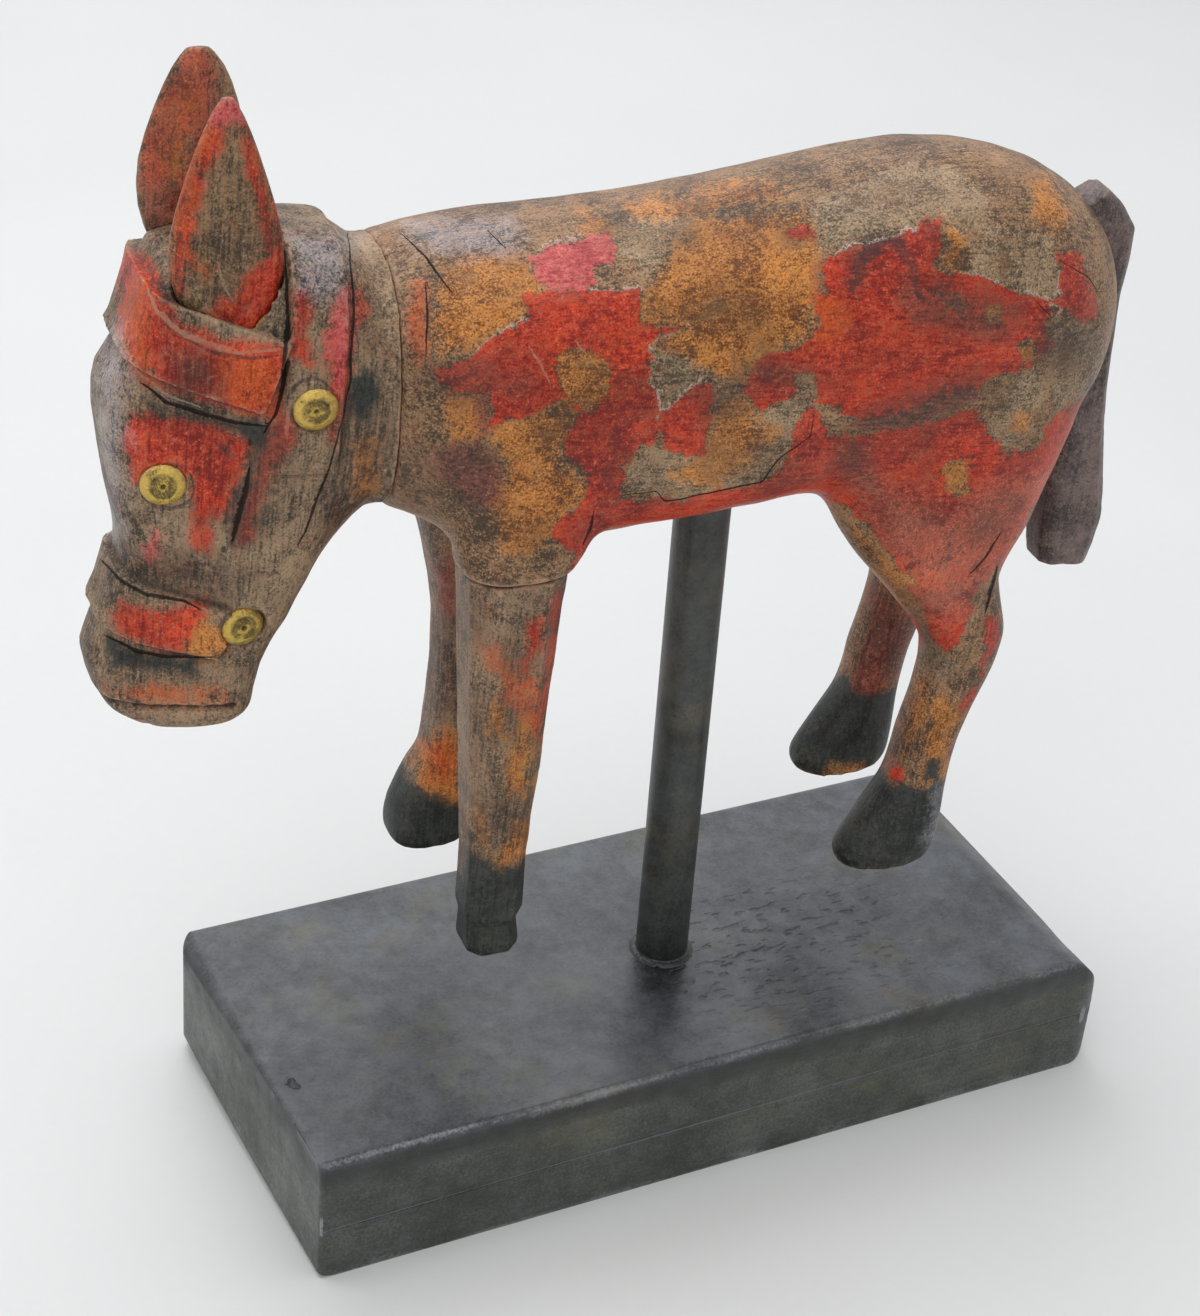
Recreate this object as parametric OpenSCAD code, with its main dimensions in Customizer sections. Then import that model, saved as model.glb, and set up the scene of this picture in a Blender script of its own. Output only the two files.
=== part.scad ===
// Carved and painted wooden donkey held over a block stand by a dowel post.
// Millimetres, Z up. The origin is the middle of the stand's underside.
// The head points along -X and the animal's left side along -Y.

/* [Stand] */
// Length of the stand block
base_length = 203; // [160:1:260]
// Width of the stand block
base_width = 84.5; // [70:0.5:120]
// Height of the stand block
base_height = 31.8; // [28:0.1:60]
// Skew of the left end, which was sawn out of square
base_skew = 3.5; // [0:0.5:6]
// Lean of the right end from foot to top
base_end_lean = 5; // [0:0.5:8]
// Rounding of the long top edges
base_edge = 2; // [0.5:0.1:4]
// Rounding of the top edge at the right end
base_right_edge = 11; // [1:0.5:14]
// Rounding of the bottom edge at the right end
base_right_foot = 6; // [1:0.5:10]
// Rounding of the top edge at the left end
base_left_edge = 4.5; // [1:0.5:8]
// Rounding of the bottom edge at the left end
base_left_foot = 8; // [1:0.5:10]
// Rounding of the upright corners at the back
base_corner = 7; // [3:0.5:12]
// Rounding of the worn upright corner, front right
base_worn_corner = 8; // [2:0.5:12]
// Rounding of the one upright corner that is still sharp
base_sharp_corner = 1.2; // [0.5:0.1:3]
// Width of the saw line along the front face
saw_line_width = 0.5; // [0.3:0.1:1.5]
// Depth of the saw line
saw_line_depth = 0.3; // [0.2:0.1:1.5]
// Height of the saw line as a share of the block
saw_line_share = 0.46; // [0.3:0.01:0.7]
// Slope of the saw line in degrees
saw_line_slope = -0.7; // [-2:0.1:2]

/* [Post] */
// Diameter of the post
post_dia = 12; // [8:0.5:16]
// Post position along the block from its middle
post_x = 1.1; // [-15:0.1:15]
// Post position across the block from its middle
post_y = -2.4; // [-10:0.1:10]
// Lean of the post to the head end in degrees
post_lean = 1; // [-3:0.1:3]
// Depth of the post in the block
post_base_depth = 24; // [12:0.5:27]
// Depth of the post in the belly
post_body_depth = 28; // [15:0.5:40]
// Width of the paint and glue bead around the post foot
bead_width = 1.4; // [0.5:0.1:4]
// Height of the bead
bead_height = 0.7; // [0.5:0.1:3]
// Width of the flat top of the bead
bead_top = 0.5; // [0.3:0.1:1]

/* [Figure] */
// Turn of the figure about the post in degrees
figure_turn = -5.2; // [-15:0.1:15]
// Clear height under the hooves
hoof_lift = 29; // [10:0.5:60]
// Height of the belly over the soles
belly_height = 93; // [80:0.5:120]
// Length of the body from neck joint to rump
body_length = 158; // [140:1:190]
// Depth of the body at mid back
body_depth = 60.6; // [52:0.1:70]
// Width of the body at mid back
body_width = 57.2; // [52:0.1:68]
// Distance of the neck joint ahead of the post
neck_ahead = 75; // [65:0.5:85]

/* [Legs] */
// Height of the foreleg joint over the soles
foreleg_length = 94; // [80:0.5:105]
// Distance of the forelegs ahead of the post
foreleg_ahead = 51; // [46:0.5:56]
// Distance of each foreleg from the middle
foreleg_spread = 20; // [17:0.5:22]
// Distance of each hind hoof from the middle
hind_spread = 18; // [15:0.5:20]
// Distance of the right hind leg behind the left one
hind_stagger = 5.5; // [0:0.5:8]
// Length of the dowel in each foreleg joint
leg_dowel_length = 26; // [12:0.5:32]
// Diameter of the foreleg dowels
leg_dowel_dia = 6; // [4:0.5:8]

/* [Head] */
// Reach of the head ahead of the neck joint
head_reach = 57.2; // [46:0.1:62]
// Drop of the muzzle below the back line
head_drop = 101.5; // [86:0.5:114]
// Greatest width of the head
head_width = 36; // [32:0.5:42]
// Width of the mouth line
mouth_width = 1.2; // [0.6:0.1:2]
// Depth of the mouth line
mouth_depth = 1.4; // [0.5:0.1:2]
// Side of the notch across the underside of the lips
lip_notch_size = 3.4; // [1:0.1:5]
// Width of the drying crack on the left cheek
crack_width = 0.9; // [0.4:0.1:1.5]
// Depth of the drying crack from the widest part of the head
crack_depth = 4; // [3:0.5:6]
// Length of the dowel in the neck joint
neck_dowel_length = 36; // [20:0.5:44]
// Diameter of the neck dowel
neck_dowel_dia = 10; // [6:0.5:14]
// Height of the browband over the carved face
browband_relief = 2.9; // [1:0.1:3.5]
// Width of the browband
browband_width = 15; // [8:0.5:17]
// Height of the noseband over the carved face
noseband_relief = 2; // [0.5:0.1:2.5]
// Width of the noseband
noseband_width = 12; // [6:0.5:14]
// Height of the crown strap over the carved neck
crown_relief = 1.3; // [0.5:0.1:2.5]
// Width of the crown strap
crown_width = 11; // [6:0.5:14]

/* [Ears] */
// Length of each ear over its seat
ear_length = 44.5; // [38:0.5:60]
// Greatest width of each ear
ear_width = 21.5; // [16:0.5:26]
// Greatest thickness of each ear
ear_thickness = 8; // [6:0.5:10]
// Depth of the ear mortise below the seat
ear_mortise = 7; // [4:0.5:10]
// Depth of the flat panel planed on the outside of each ear
ear_panel = 1.1; // [0.4:0.1:1.8]
// Height of the point of that panel over the seat
ear_panel_foot = 2; // [0:0.5:12]

/* [Tacks] */
// Diameter of the brass tack heads
tack_dia = 8.8; // [7:0.1:11]
// Height of the tack heads
tack_height = 1.5; // [1:0.1:3]
// Diameter of the tack shanks
tack_shank_dia = 1.8; // [1.2:0.1:2.5]
// Length of the tack shanks
tack_shank = 7; // [4:0.5:8]

/* [Tail] */
// Length of the tail
tail_length = 91; // [74:0.5:100]
// Greatest width of the tail
tail_width = 12; // [8:0.5:15]

/* [Fits] */
// Clearance between a peg, blade or dowel and the wood around it
fit_gap = 0.15; // [0.05:0.05:0.3]

/* [Hidden] */
$fn = 48;

red_paint = [0.62, 0.16, 0.10];
ochre_paint = [0.60, 0.38, 0.13];
dark_wood = [0.25, 0.20, 0.17];
black_paint = [0.07, 0.07, 0.08];
brass = [0.72, 0.58, 0.25];
bare_wood = [0.66, 0.52, 0.36];

left = -1;
right = 1;
// Points around a carved section, and slices between two rows of a table
trunk_points = 28;
limb_points = 20;
whittled_points = 8;
slices = 2;
// Amount by which a cutter passes the face that it opens
over = 1;
// Reach of a cutter that must clear the whole figure
clear_all = 120;

// Torso, neck joint to rump: distance behind the joint, top and bottom
// over the belly line, half width, squareness of the back and of the belly
torso_rows = [
  [0, 62.5, 10, 19, 2.5, 2.7],
  [8, 64, 6.5, 24.5, 2.3, 3.2],
  [24, 65, 4.4, 28.6, 2.2, 4.2],
  [54, 66.2, 3, 29, 2.2, 3.6],
  [86, 70.4, 5.4, 29, 2.2, 3.6],
  [112, 73.2, 7, 30, 2.2, 3.8],
  [132, 70.4, 9.6, 28, 2.2, 3.4],
  [147, 63, 12.6, 22.5, 2.2, 2.8],
  [155.5, 52.5, 19, 14, 2.2, 2.2],
  [158, 42, 28, 7, 2.0, 2.0]
];
withers = torso_rows[2];

// Head, neck to lips: ahead of the joint and below the back line for the
// crest, then for the throat, half width, taper, squareness
head_rows = [
  [4, 2, 4, 55.8, 17.6, 0.00, 2.6],
  [8.4, -1.2, 8.6, 60.2, 17.6, 0.00, 2.9],
  [15, -2.2, 12.6, 65.4, 18, 0.00, 3.2],
  [28, -2.8, 16, 71.4, 17.5, -0.05, 3.6],
  [42, -0.5, 17.6, 75.2, 16.4, -0.10, 4.0],
  [45.4, 8.5, 18.5, 77, 15.9, -0.12, 4.2],
  [48, 17.5, 19.4, 78.6, 15.5, -0.13, 4.2],
  [52.4, 24, 20.2, 80, 15.1, -0.14, 4.2],
  [53.4, 33, 21.4, 82.6, 14.2, -0.16, 4.2],
  [51.4, 50, 22.8, 87.2, 12.8, -0.14, 4.0],
  [50, 60, 23.4, 91, 12, -0.12, 3.8],
  [52.2, 71, 23.9, 94.5, 11.6, -0.10, 3.6],
  [57.2, 84.5, 24.4, 98.2, 11.8, -0.08, 3.4],
  [54, 94.5, 27, 100.5, 11, -0.04, 3.2],
  [47, 99.5, 33, 101.5, 8, 0.00, 2.8]
];

// Hind leg, hip to sole, for a belly line at hind_belly: front and rear points,
// distance outside the hoof line, half width, taper to the toe, squareness
hind_belly = 93;
hind_rows = [
  [18, 146, 60, 150, -8, 15.4, 0, 2],
  [13, 130, 68, 134, -5, 16, 0, 2],
  [12, 116, 73.6, 120, -3.4, 14.8, 0, 2],
  [13.4, 102, 72.6, 106, -2.4, 14, 0, 2.1],
  [25, 84.5, 64.5, 88.5, -0.8, 11.5, 0, 2.2],
  [37.5, 70, 59.3, 77, 0, 9.6, 0, 2.2],
  [45, 59, 63.3, 62, 0, 8.4, 0, 2.3],
  [44.8, 48, 60.2, 48, 0, 7.4, 0, 2.3],
  [42.4, 36.5, 56.9, 36.5, 0, 7.2, 0, 2.3],
  [41.6, 29, 55.2, 26, 0, 7.4, -0.05, 2.4],
  [40, 23, 54.9, 21, 0, 7.7, -0.1, 2.4],
  [35.4, 15.5, 54.8, 16, 0, 8.5, -0.18, 2.3],
  [31.4, 9, 54.6, 11.4, 0, 9, -0.22, 2.2],
  [30.8, 6, 54.2, 9, 0, 9.2, -0.22, 2.2],
  [32.4, 3, 52.8, 6.8, 0, 8.8, -0.22, 2.2]
];

// Foreleg, joint to sole: height, front and rear from the leg line,
// half width
left_foreleg_rows = [
  [94, -11.4, 10.6, 9.8],
  [77, -10.2, 9.2, 9.4],
  [52, -8.8, 8.2, 8.4],
  [25, -7.1, 6.6, 7.4],
  [11, -7.4, 6.6, 7.3],
  [8, -6.6, 5.4, 6.4],
  [2, -6.8, 6.2, 6.8],
  [0, -6.2, 5.6, 6.2]
];
right_foreleg_rows = [
  [94, -10, 11, 9.4],
  [75, -5, 10, 8.2],
  [58, -1.9, 9.6, 7.2],
  [35, -2.3, 8.8, 6.9],
  [23, -3.6, 8.2, 7.2],
  [18.5, -6, 8, 7.8],
  [9, -10, 7.8, 8.6],
  [3.4, -10.8, 7.6, 8.6],
  [1.2, -10, 7, 8.2]
];

// Ear, mortise to tip: height over the seat, front and rear from the ear
// line, lean to the outside, half thickness
left_ear_rows = [
  [0, -5.5, 9, 0, 4],
  [7, -9.4, 10.2, 0, 4],
  [15, -11, 10.5, 0, 3.8],
  [24, -9.4, 8.9, 0.2, 3.3],
  [34, -6.2, 5.8, 0.3, 2.6],
  [41, -3.3, 3, 0.4, 1.9],
  [44.5, -1.2, 1.1, 0.5, 1]
];
right_ear_rows = [
  [0, -4.5, 9, 0, 4],
  [7, -8.4, 10.2, 0, 4],
  [15, -11, 10.5, 0, 3.8],
  [24, -10.8, 10, 0.2, 3.4],
  [34, -7.6, 8.2, 0.3, 2.8],
  [41, -4.4, 5.6, 0.4, 2.1],
  [44.5, -1.7, 2.8, 0.5, 1.1]
];

// Tail, dock to tip: behind the rump end and below the back line for the
// front, then for the rear, half width
tail_rows = [
  [-10, 7, -2.4, 3, 4.4],
  [-9, 15, 5.4, 12, 6],
  [-6.5, 28, 5, 27, 5.4],
  [-4.5, 51, 6.4, 51, 5.4],
  [-4.5, 67, 8.9, 66, 5.6],
  [-4.8, 83, 11.2, 82, 5.9],
  [-3.2, 92.6, 9.6, 94, 4.8]
];

function row_at(rows, i) = rows[min(max(i, 0), len(rows) - 1)];
function bend(a, b, c, d, t) =
  b + (c - a) * t / 2 + (2 * a - 5 * b + 4 * c - d) * t * t / 2
  + (3 * b - a - 3 * c + d) * t * t * t / 2;
// A row part way between two rows of a table, on a smooth curve through all
function row_between(rows, s) =
  let (i = min(floor(s), len(rows) - 2), t = s - i)
  bend(row_at(rows, i - 1), rows[i], rows[i + 1], row_at(rows, i + 2), t);
function refine(rows, first, last) =
  [for (k = [first * slices : last * slices]) row_between(rows, k / slices)];

function signed_power(v, e) = sign(v) * pow(abs(v), e);
// One section: two end points in the XZ plane, middle Y, half width,
// taper from the second end to the first, squareness of each end
function section(r, points) = [
  for (i = [0 : points - 1])
    let (
      a = 360 * (i + 0.5) / points,
      e = 2 / (cos(a) > 0 ? r[7] : r[8]),
      u = signed_power(cos(a), e),
      v = signed_power(sin(a), e)
    )
    [
      (r[0] + r[2] + (r[0] - r[2]) * u) / 2,
      r[4] + r[5] * (1 + r[6] * u) * v,
      (r[1] + r[3] + (r[1] - r[3]) * u) / 2
    ]
];
// A section pushed out on all sides
function grown(r, g) =
  let (d = [r[0] - r[2], r[1] - r[3]], e = d * g / norm(d))
  [r[0] + e[0], r[1] + e[1], r[2] - e[0], r[3] - e[1], r[4], r[5] + g, r[6], r[7], r[8]];

function turned(rows) = [for (i = [len(rows) - 1 : -1 : 0]) rows[i]];
function spine(r) = [(r[0] + r[2]) / 2, r[4], (r[1] + r[3]) / 2];
// Positive where the sections run so that the skin would face inwards
function facing(rows, points) =
  let (ring = section(rows[0], points))
  cross(ring[1] - ring[0], spine(rows[1]) - spine(rows[0])) * (ring[0] - spine(rows[0]));

// Closed carved surface through a list of sections
module skin(rows, points) {
  ordered = facing(rows, points) > 0 ? turned(rows) : rows;
  rings = [for (r = ordered) section(r, points)];
  last = len(rings) - 1;
  sides = [
    for (j = [0 : last - 1]) for (i = [0 : points - 1])
      let (k = (i + 1) % points, a = j * points, b = a + points)
      each [[a + i, a + k, b + k], [a + i, b + k, b + i]]
  ];
  first_cap = [for (i = [points - 1 : -1 : 0]) i];
  last_cap = [for (i = [0 : points - 1]) last * points + i];
  polyhedron([for (r = rings) each r], concat(sides, [first_cap], [last_cap]), convexity = 6);
}

function column(rows, k) = [for (r = rows) r[k]];
function last_of(rows) = rows[len(rows) - 1];

torso_scale = [
  body_length / last_of(torso_rows)[0],
  body_depth / (withers[1] - withers[2]),
  body_width / 2 / withers[3]
];
back_line = belly_height + withers[1] * torso_scale[1];
torso = [
  for (r = torso_rows)
    let (x = r[0] * torso_scale[0] - neck_ahead, k = torso_scale[1])
    [x, belly_height + r[1] * k, x, belly_height + r[2] * k, 0, r[3] * torso_scale[2], 0, r[4], r[5]]
];

head_scale = [
  head_reach / max(column(head_rows, 0)),
  head_drop / last_of(head_rows)[3],
  head_width / 2 / max(column(head_rows, 4))
];
function head_x(ahead) = -neck_ahead - ahead * head_scale[0];
function head_z(below) = back_line - below * head_scale[1];
// The head starts on the same section that the body ends on
head_sections = concat([torso[0]], [
  for (r = head_rows)
    [head_x(r[0]), head_z(r[1]), head_x(r[2]), head_z(r[3]), 0, r[4] * head_scale[2], r[5], r[6], r[6]]
]);

hind_scale = [belly_height / hind_belly, torso_scale[2]];
function hind_sections(side) = [
  for (r = hind_rows)
    let (dx = side == right ? hind_stagger : 0, k = hind_scale[0])
    [
      r[0] + dx, r[1] * k, r[2] + dx, r[3] * k,
      side * (hind_spread + r[4] * hind_scale[1]), r[5] * hind_scale[1], r[6], r[7], r[7]
    ]
];

foreleg_squareness = 2.8;
function foreleg_sections(rows, side) = [
  for (r = rows)
    let (z = r[0] * foreleg_length / rows[0][0])
    [
      r[1] - foreleg_ahead, z, r[2] - foreleg_ahead, z,
      side * foreleg_spread, r[3], 0, foreleg_squareness, foreleg_squareness
    ]
];

// Shoulder over the foreleg joint: height, front and rear from the leg line,
// shift to the middle, half width, squareness
shoulder_rows = [
  [0, -11.9, 11.2, 0, 10.2, 2.8],
  [7, -13, 16, 0, 10.2, 2.6],
  [15, -15.5, 22.5, 1.5, 10.2, 2.4],
  [24, -17, 28, 4.4, 10, 2.3],
  [34, -17, 30, 8.5, 10, 2.2]
];
function shoulder_sections(side) = [
  for (r = shoulder_rows)
    let (z = foreleg_length + r[0])
    [
      r[1] - foreleg_ahead, z, r[2] - foreleg_ahead, z,
      side * (foreleg_spread - r[3]) * torso_scale[2], r[4] * torso_scale[2], 0, r[5], r[5]
    ]
];

// Ear line: ahead of the neck joint, below the back line, from the middle
ear_place = [31.5, 12, 11.5];
ear_squareness = 2.2;
ear_scale = [
  ear_length / last_of(left_ear_rows)[0],
  ear_width / (max(column(left_ear_rows, 2)) - min(column(left_ear_rows, 1))),
  ear_thickness / 2 / max(column(left_ear_rows, 4))
];
function ear_section(r, z, side) =
  let (x = head_x(ear_place[0]))
  [
    x + r[1] * ear_scale[1], z, x + r[2] * ear_scale[1], z,
    side * (ear_place[2] * head_scale[2] + r[3]), r[4] * ear_scale[2], 0, ear_squareness, ear_squareness
  ];
function ear_sections(side) =
  let (seat = head_z(ear_place[1]), rows = side == right ? right_ear_rows : left_ear_rows)
  concat(
    [ear_section(rows[0], seat - ear_mortise, side)],
    [for (r = rows) ear_section(r, seat + r[0] * ear_scale[0], side)]
  );

tail_squareness = 4;
tail_scale = [
  tail_length / (last_of(tail_rows)[3] - tail_rows[0][3]),
  tail_width / 2 / max(column(tail_rows, 4))
];
rump_end = body_length - neck_ahead;
tail_sections = [
  for (r = tail_rows)
    [
      rump_end + r[0], back_line - r[1] * tail_scale[0],
      rump_end + r[2], back_line - r[3] * tail_scale[0],
      0, r[4] * tail_scale[1], 0, tail_squareness, tail_squareness
    ]
];

// Tacks: row of the head table, share from throat to crest, seat below the
// carved surface, turn to the front
eye_tack = [8.3, 0.43, 0.7, 12];
cheek_tack = [3.3, 0.17, -0.6, 4];
muzzle_tack = [9.4, -0.57, 1.1, -6];
function tack_point(place, side) =
  let (
    r = row_between(head_sections, place[0]),
    u = place[1],
    y = r[5] * (1 + r[6] * u) * pow(1 - pow(abs(u), r[7]), 1 / r[7]) - place[2]
  )
  [(r[0] + r[2] + (r[0] - r[2]) * u) / 2, side * y, (r[1] + r[3] + (r[1] - r[3]) * u) / 2];

// Moves its children into the figure, which is measured from the post foot
module figure() {
  translate([post_x, post_y, base_height + hoof_lift]) rotate(figure_turn) children();
}

// Stands its children on the post foot and leans them with the post
module post_axis() {
  translate([post_x, post_y, base_height]) rotate([0, -post_lean, 0]) children();
}

function toward(a, b) = (b - a) / norm(b - a);

// Corner of a flat outline that is to be rounded away
module corner_cutter(before, corner, after, r) {
  d1 = toward(corner, before);
  d2 = toward(corner, after);
  half = acos(d1 * d2) / 2;
  reach = r / tan(half);
  difference() {
    polygon([corner + d1 * reach, corner - (d1 + d2) * over, corner + d2 * reach]);
    translate(corner + toward([0, 0], d1 + d2) * r / sin(half)) circle(r);
  }
}

// Flat outline with its own rounding at each corner, or none
module rounded(points, radii) {
  n = len(points);
  difference() {
    polygon(points);
    for (i = [0 : n - 1])
      if (radii[i] > 0)
        corner_cutter(points[(i + n - 1) % n], points[i], points[(i + 1) % n], radii[i]);
  }
}

base_x = base_length / 2;
base_y = base_width / 2;
module plan() {
  rounded(
    [[-base_x + base_skew, -base_y], [base_x, -base_y], [base_x, base_y], [-base_x, base_y]],
    [base_sharp_corner, base_worn_corner, base_corner, base_corner]
  );
}

module front_profile() {
  rounded(
    [[-base_x, 0], [base_x, 0], [base_x - base_end_lean, base_height], [-base_x, base_height]],
    [base_left_foot, base_right_foot, base_right_edge, base_left_edge]
  );
}

module end_profile() {
  rounded(
    [[-base_y, 0], [base_y, 0], [base_y, base_height], [-base_y, base_height]],
    [0, 0, base_edge, base_edge]
  );
}

module saw_line() {
  translate([0, -base_width / 2, base_height * saw_line_share])
    rotate([0, saw_line_slope, 0])
      cube([2 * base_length, 2 * saw_line_depth, saw_line_width], center = true);
}

module base_block() {
  color(black_paint)
    difference() {
      intersection() {
        linear_extrude(base_height) plan();
        rotate([90, 0, 0]) linear_extrude(2 * base_width, center = true) front_profile();
        rotate([90, 0, 90]) linear_extrude(2 * base_length, center = true) end_profile();
      }
      post_axis()
        translate([0, 0, -post_base_depth])
          cylinder(d = post_dia + 2 * fit_gap, h = post_base_depth + over);
      saw_line();
    }
}

post_rise = hoof_lift + belly_height + post_body_depth;
module post() {
  color(black_paint) {
    post_axis()
      translate([0, 0, -post_base_depth]) cylinder(d = post_dia, h = post_base_depth + post_rise);
    translate([post_x, post_y, base_height])
      rotate_extrude()
        polygon([
          [0, 0], [post_dia / 2 + bead_width, 0],
          [post_dia / 2 + bead_top, bead_height], [0, bead_height]
        ]);
  }
}

module tail_shape(gap) {
  skin([for (r = refine(tail_sections, 0, len(tail_sections) - 1)) grown(r, gap)], whittled_points);
}

module hind_leg(side) {
  skin(refine(hind_sections(side), 0, len(hind_rows) - 1), limb_points);
}

module shoulder(side) {
  skin(refine(shoulder_sections(side), 0, len(shoulder_rows) - 1), limb_points);
}

module foreleg_dowel(side, gap) {
  translate([-foreleg_ahead, side * foreleg_spread, foreleg_length])
    cylinder(d = leg_dowel_dia + 2 * gap, h = leg_dowel_length, center = true);
}

neck_dowel_z = (torso[0][1] + torso[0][3]) / 2;
module neck_dowel_shape(gap) {
  translate([-neck_ahead, 0, neck_dowel_z])
    rotate([0, 90, 0])
      cylinder(d = neck_dowel_dia + 2 * gap, h = neck_dowel_length, center = true);
}

module body() {
  color(red_paint)
    difference() {
      figure() {
        skin(refine(torso, 0, len(torso) - 1), trunk_points);
        for (side = [left, right]) {
          hind_leg(side);
          shoulder(side);
        }
      }
      figure() {
        tail_shape(fit_gap);
        neck_dowel_shape(fit_gap);
        for (side = [left, right]) foreleg_dowel(side, fit_gap);
      }
      post_axis() cylinder(d = post_dia + 2 * fit_gap, h = post_rise);
    }
}

// Slab that runs to the front from its square cut end
module strap_slab(end_x, end_z, tilt, width) {
  translate([end_x, 0, end_z])
    rotate([0, tilt, 0])
      translate([-clear_all, -clear_all / 2, -width / 2]) cube([clear_all, clear_all, width]);
}

// Slab that stands across the neck and is open at the top
module crown_slab(foot_x, foot_z, tilt, width) {
  translate([foot_x, 0, foot_z])
    rotate([0, tilt, 0])
      translate([-width / 2, -clear_all / 2, 0]) cube([width, clear_all, clear_all]);
}

// Part of the head surface pushed out by the height of a strap
module raised(first, last, relief) {
  skin([for (r = refine(head_sections, first, last)) grown(r, relief)], trunk_points);
}

// Straps: first and last head row under it, ahead of the neck joint and
// below the back line for its end, tilt
browband = [3, 11, 23.5, 19.5, 21];
noseband = [9, 15, 31, 77, 20];
crown_strap = [1, 7, 17.5, 40, 4];

// Mouth: first and last head row that it crosses, ahead of the neck joint and
// below the back line for its corner, tilt
mouth = [11, 15, 29, 95, 8];
module mouth_line() {
  difference() {
    strap_slab(head_x(mouth[2]), head_z(mouth[3]), mouth[4], mouth_width);
    raised(mouth[0], mouth[1], -mouth_depth);
  }
}

// Notch across the underside of the lips: ahead of the neck joint and below
// the back line
lip_notch = [46.3, 100];
module lip_cut() {
  translate([head_x(lip_notch[0]), 0, head_z(lip_notch[1])])
    rotate([0, 45, 0])
      cube([lip_notch_size, head_width, lip_notch_size], center = true);
}

// Drying crack down the left cheek: top and bottom, each ahead of the neck
// joint and below the back line
crack_top = [22.5, 6];
crack_foot = [33, 58];
module drying_crack() {
  top = [head_x(crack_top[0]), head_z(crack_top[1])];
  foot = [head_x(crack_foot[0]), head_z(crack_foot[1])];
  run = top - foot;
  translate([(top[0] + foot[0]) / 2, -head_width / 2, (top[1] + foot[1]) / 2])
    rotate([0, atan2(run[0], run[1]), 0])
      cube([crack_width, 2 * crack_depth, norm(run)], center = true);
}

module ear_shape(side, gap) {
  skin([for (r = refine(ear_sections(side), 0, len(left_ear_rows))) grown(r, gap)], limb_points);
}

// Wood taken off the outside of an ear, down to a point at the foot
module ear_panel_cut(side) {
  side_x = ear_width;
  shoulder_z = ear_panel_foot + side_x;
  floor_y = ear_place[2] * head_scale[2] + ear_thickness / 2 - ear_panel;
  mirror([0, side == right ? 1 : 0, 0])
    translate([head_x(ear_place[0]), -floor_y, head_z(ear_place[1])])
      rotate([90, 0, 0])
        linear_extrude(ear_thickness)
          polygon([
            [0, ear_panel_foot], [side_x, shoulder_z], [side_x, 2 * ear_length],
            [-side_x, 2 * ear_length], [-side_x, shoulder_z]
          ]);
}

module carved_ear(side) {
  difference() {
    ear_shape(side, 0);
    ear_panel_cut(side);
  }
}

module at_tack(place, side) {
  translate(tack_point(place, side)) rotate([side * -90, 0, 0]) rotate([0, -place[3], 0]) children();
}

module tack_cut(place, side) {
  at_tack(place, side) {
    cylinder(d = tack_dia + 2 * fit_gap, h = tack_height + tack_dia);
    translate([0, 0, -tack_shank - fit_gap])
      cylinder(d = tack_shank_dia + 2 * fit_gap, h = tack_shank + tack_height);
  }
}

module head() {
  color(red_paint)
    figure()
      difference() {
        union() {
          skin(refine(head_sections, 0, len(head_sections) - 1), trunk_points);
          intersection() {
            raised(browband[0], browband[1], browband_relief);
            strap_slab(head_x(browband[2]), head_z(browband[3]), browband[4], browband_width);
          }
          intersection() {
            raised(noseband[0], noseband[1], noseband_relief);
            strap_slab(head_x(noseband[2]), head_z(noseband[3]), noseband[4], noseband_width);
          }
          intersection() {
            raised(crown_strap[0], crown_strap[1], crown_relief);
            crown_slab(head_x(crown_strap[2]), head_z(crown_strap[3]), crown_strap[4], crown_width);
          }
        }
        for (side = [left, right]) {
          ear_shape(side, fit_gap);
          for (place = [eye_tack, cheek_tack, muzzle_tack]) tack_cut(place, side);
        }
        neck_dowel_shape(fit_gap);
        mouth_line();
        lip_cut();
        drying_crack();
      }
}

module left_ear() {
  color(red_paint) figure() carved_ear(left);
}

module right_ear() {
  color(red_paint) figure() carved_ear(right);
}

module left_foreleg() {
  color(ochre_paint)
    figure()
      difference() {
        skin(refine(foreleg_sections(left_foreleg_rows, left), 0, len(left_foreleg_rows) - 1), whittled_points);
        foreleg_dowel(left, fit_gap);
      }
}

module right_foreleg() {
  color(ochre_paint)
    figure()
      difference() {
        skin(refine(foreleg_sections(right_foreleg_rows, right), 0, len(right_foreleg_rows) - 1), limb_points);
        foreleg_dowel(right, fit_gap);
      }
}

module tail() {
  color(dark_wood) figure() tail_shape(0);
}

module neck_dowel() {
  color(bare_wood) figure() neck_dowel_shape(0);
}

module left_foreleg_dowel() {
  color(bare_wood) figure() foreleg_dowel(left, 0);
}

module right_foreleg_dowel() {
  color(bare_wood) figure() foreleg_dowel(right, 0);
}

dome_steps = 6;
pit_share = 0.24;
module tack(place, side) {
  dome = [
    for (k = [0 : dome_steps])
      let (a = 90 * k / dome_steps, r = tack_dia / 2)
      if (r * cos(a) > r * pit_share) [r * cos(a), tack_height * sin(a)]
  ];
  color(brass)
    figure()
      at_tack(place, side) {
        rotate_extrude() polygon(concat([[0, 0]], dome, [[0, tack_height / 2]]));
        translate([0, 0, -tack_shank]) cylinder(d1 = tack_shank_dia / 3, d2 = tack_shank_dia, h = tack_shank);
      }
}

module left_eye_tack() {
  tack(eye_tack, left);
}

module right_eye_tack() {
  tack(eye_tack, right);
}

module left_cheek_tack() {
  tack(cheek_tack, left);
}

module right_cheek_tack() {
  tack(cheek_tack, right);
}

module left_muzzle_tack() {
  tack(muzzle_tack, left);
}

module right_muzzle_tack() {
  tack(muzzle_tack, right);
}

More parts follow.
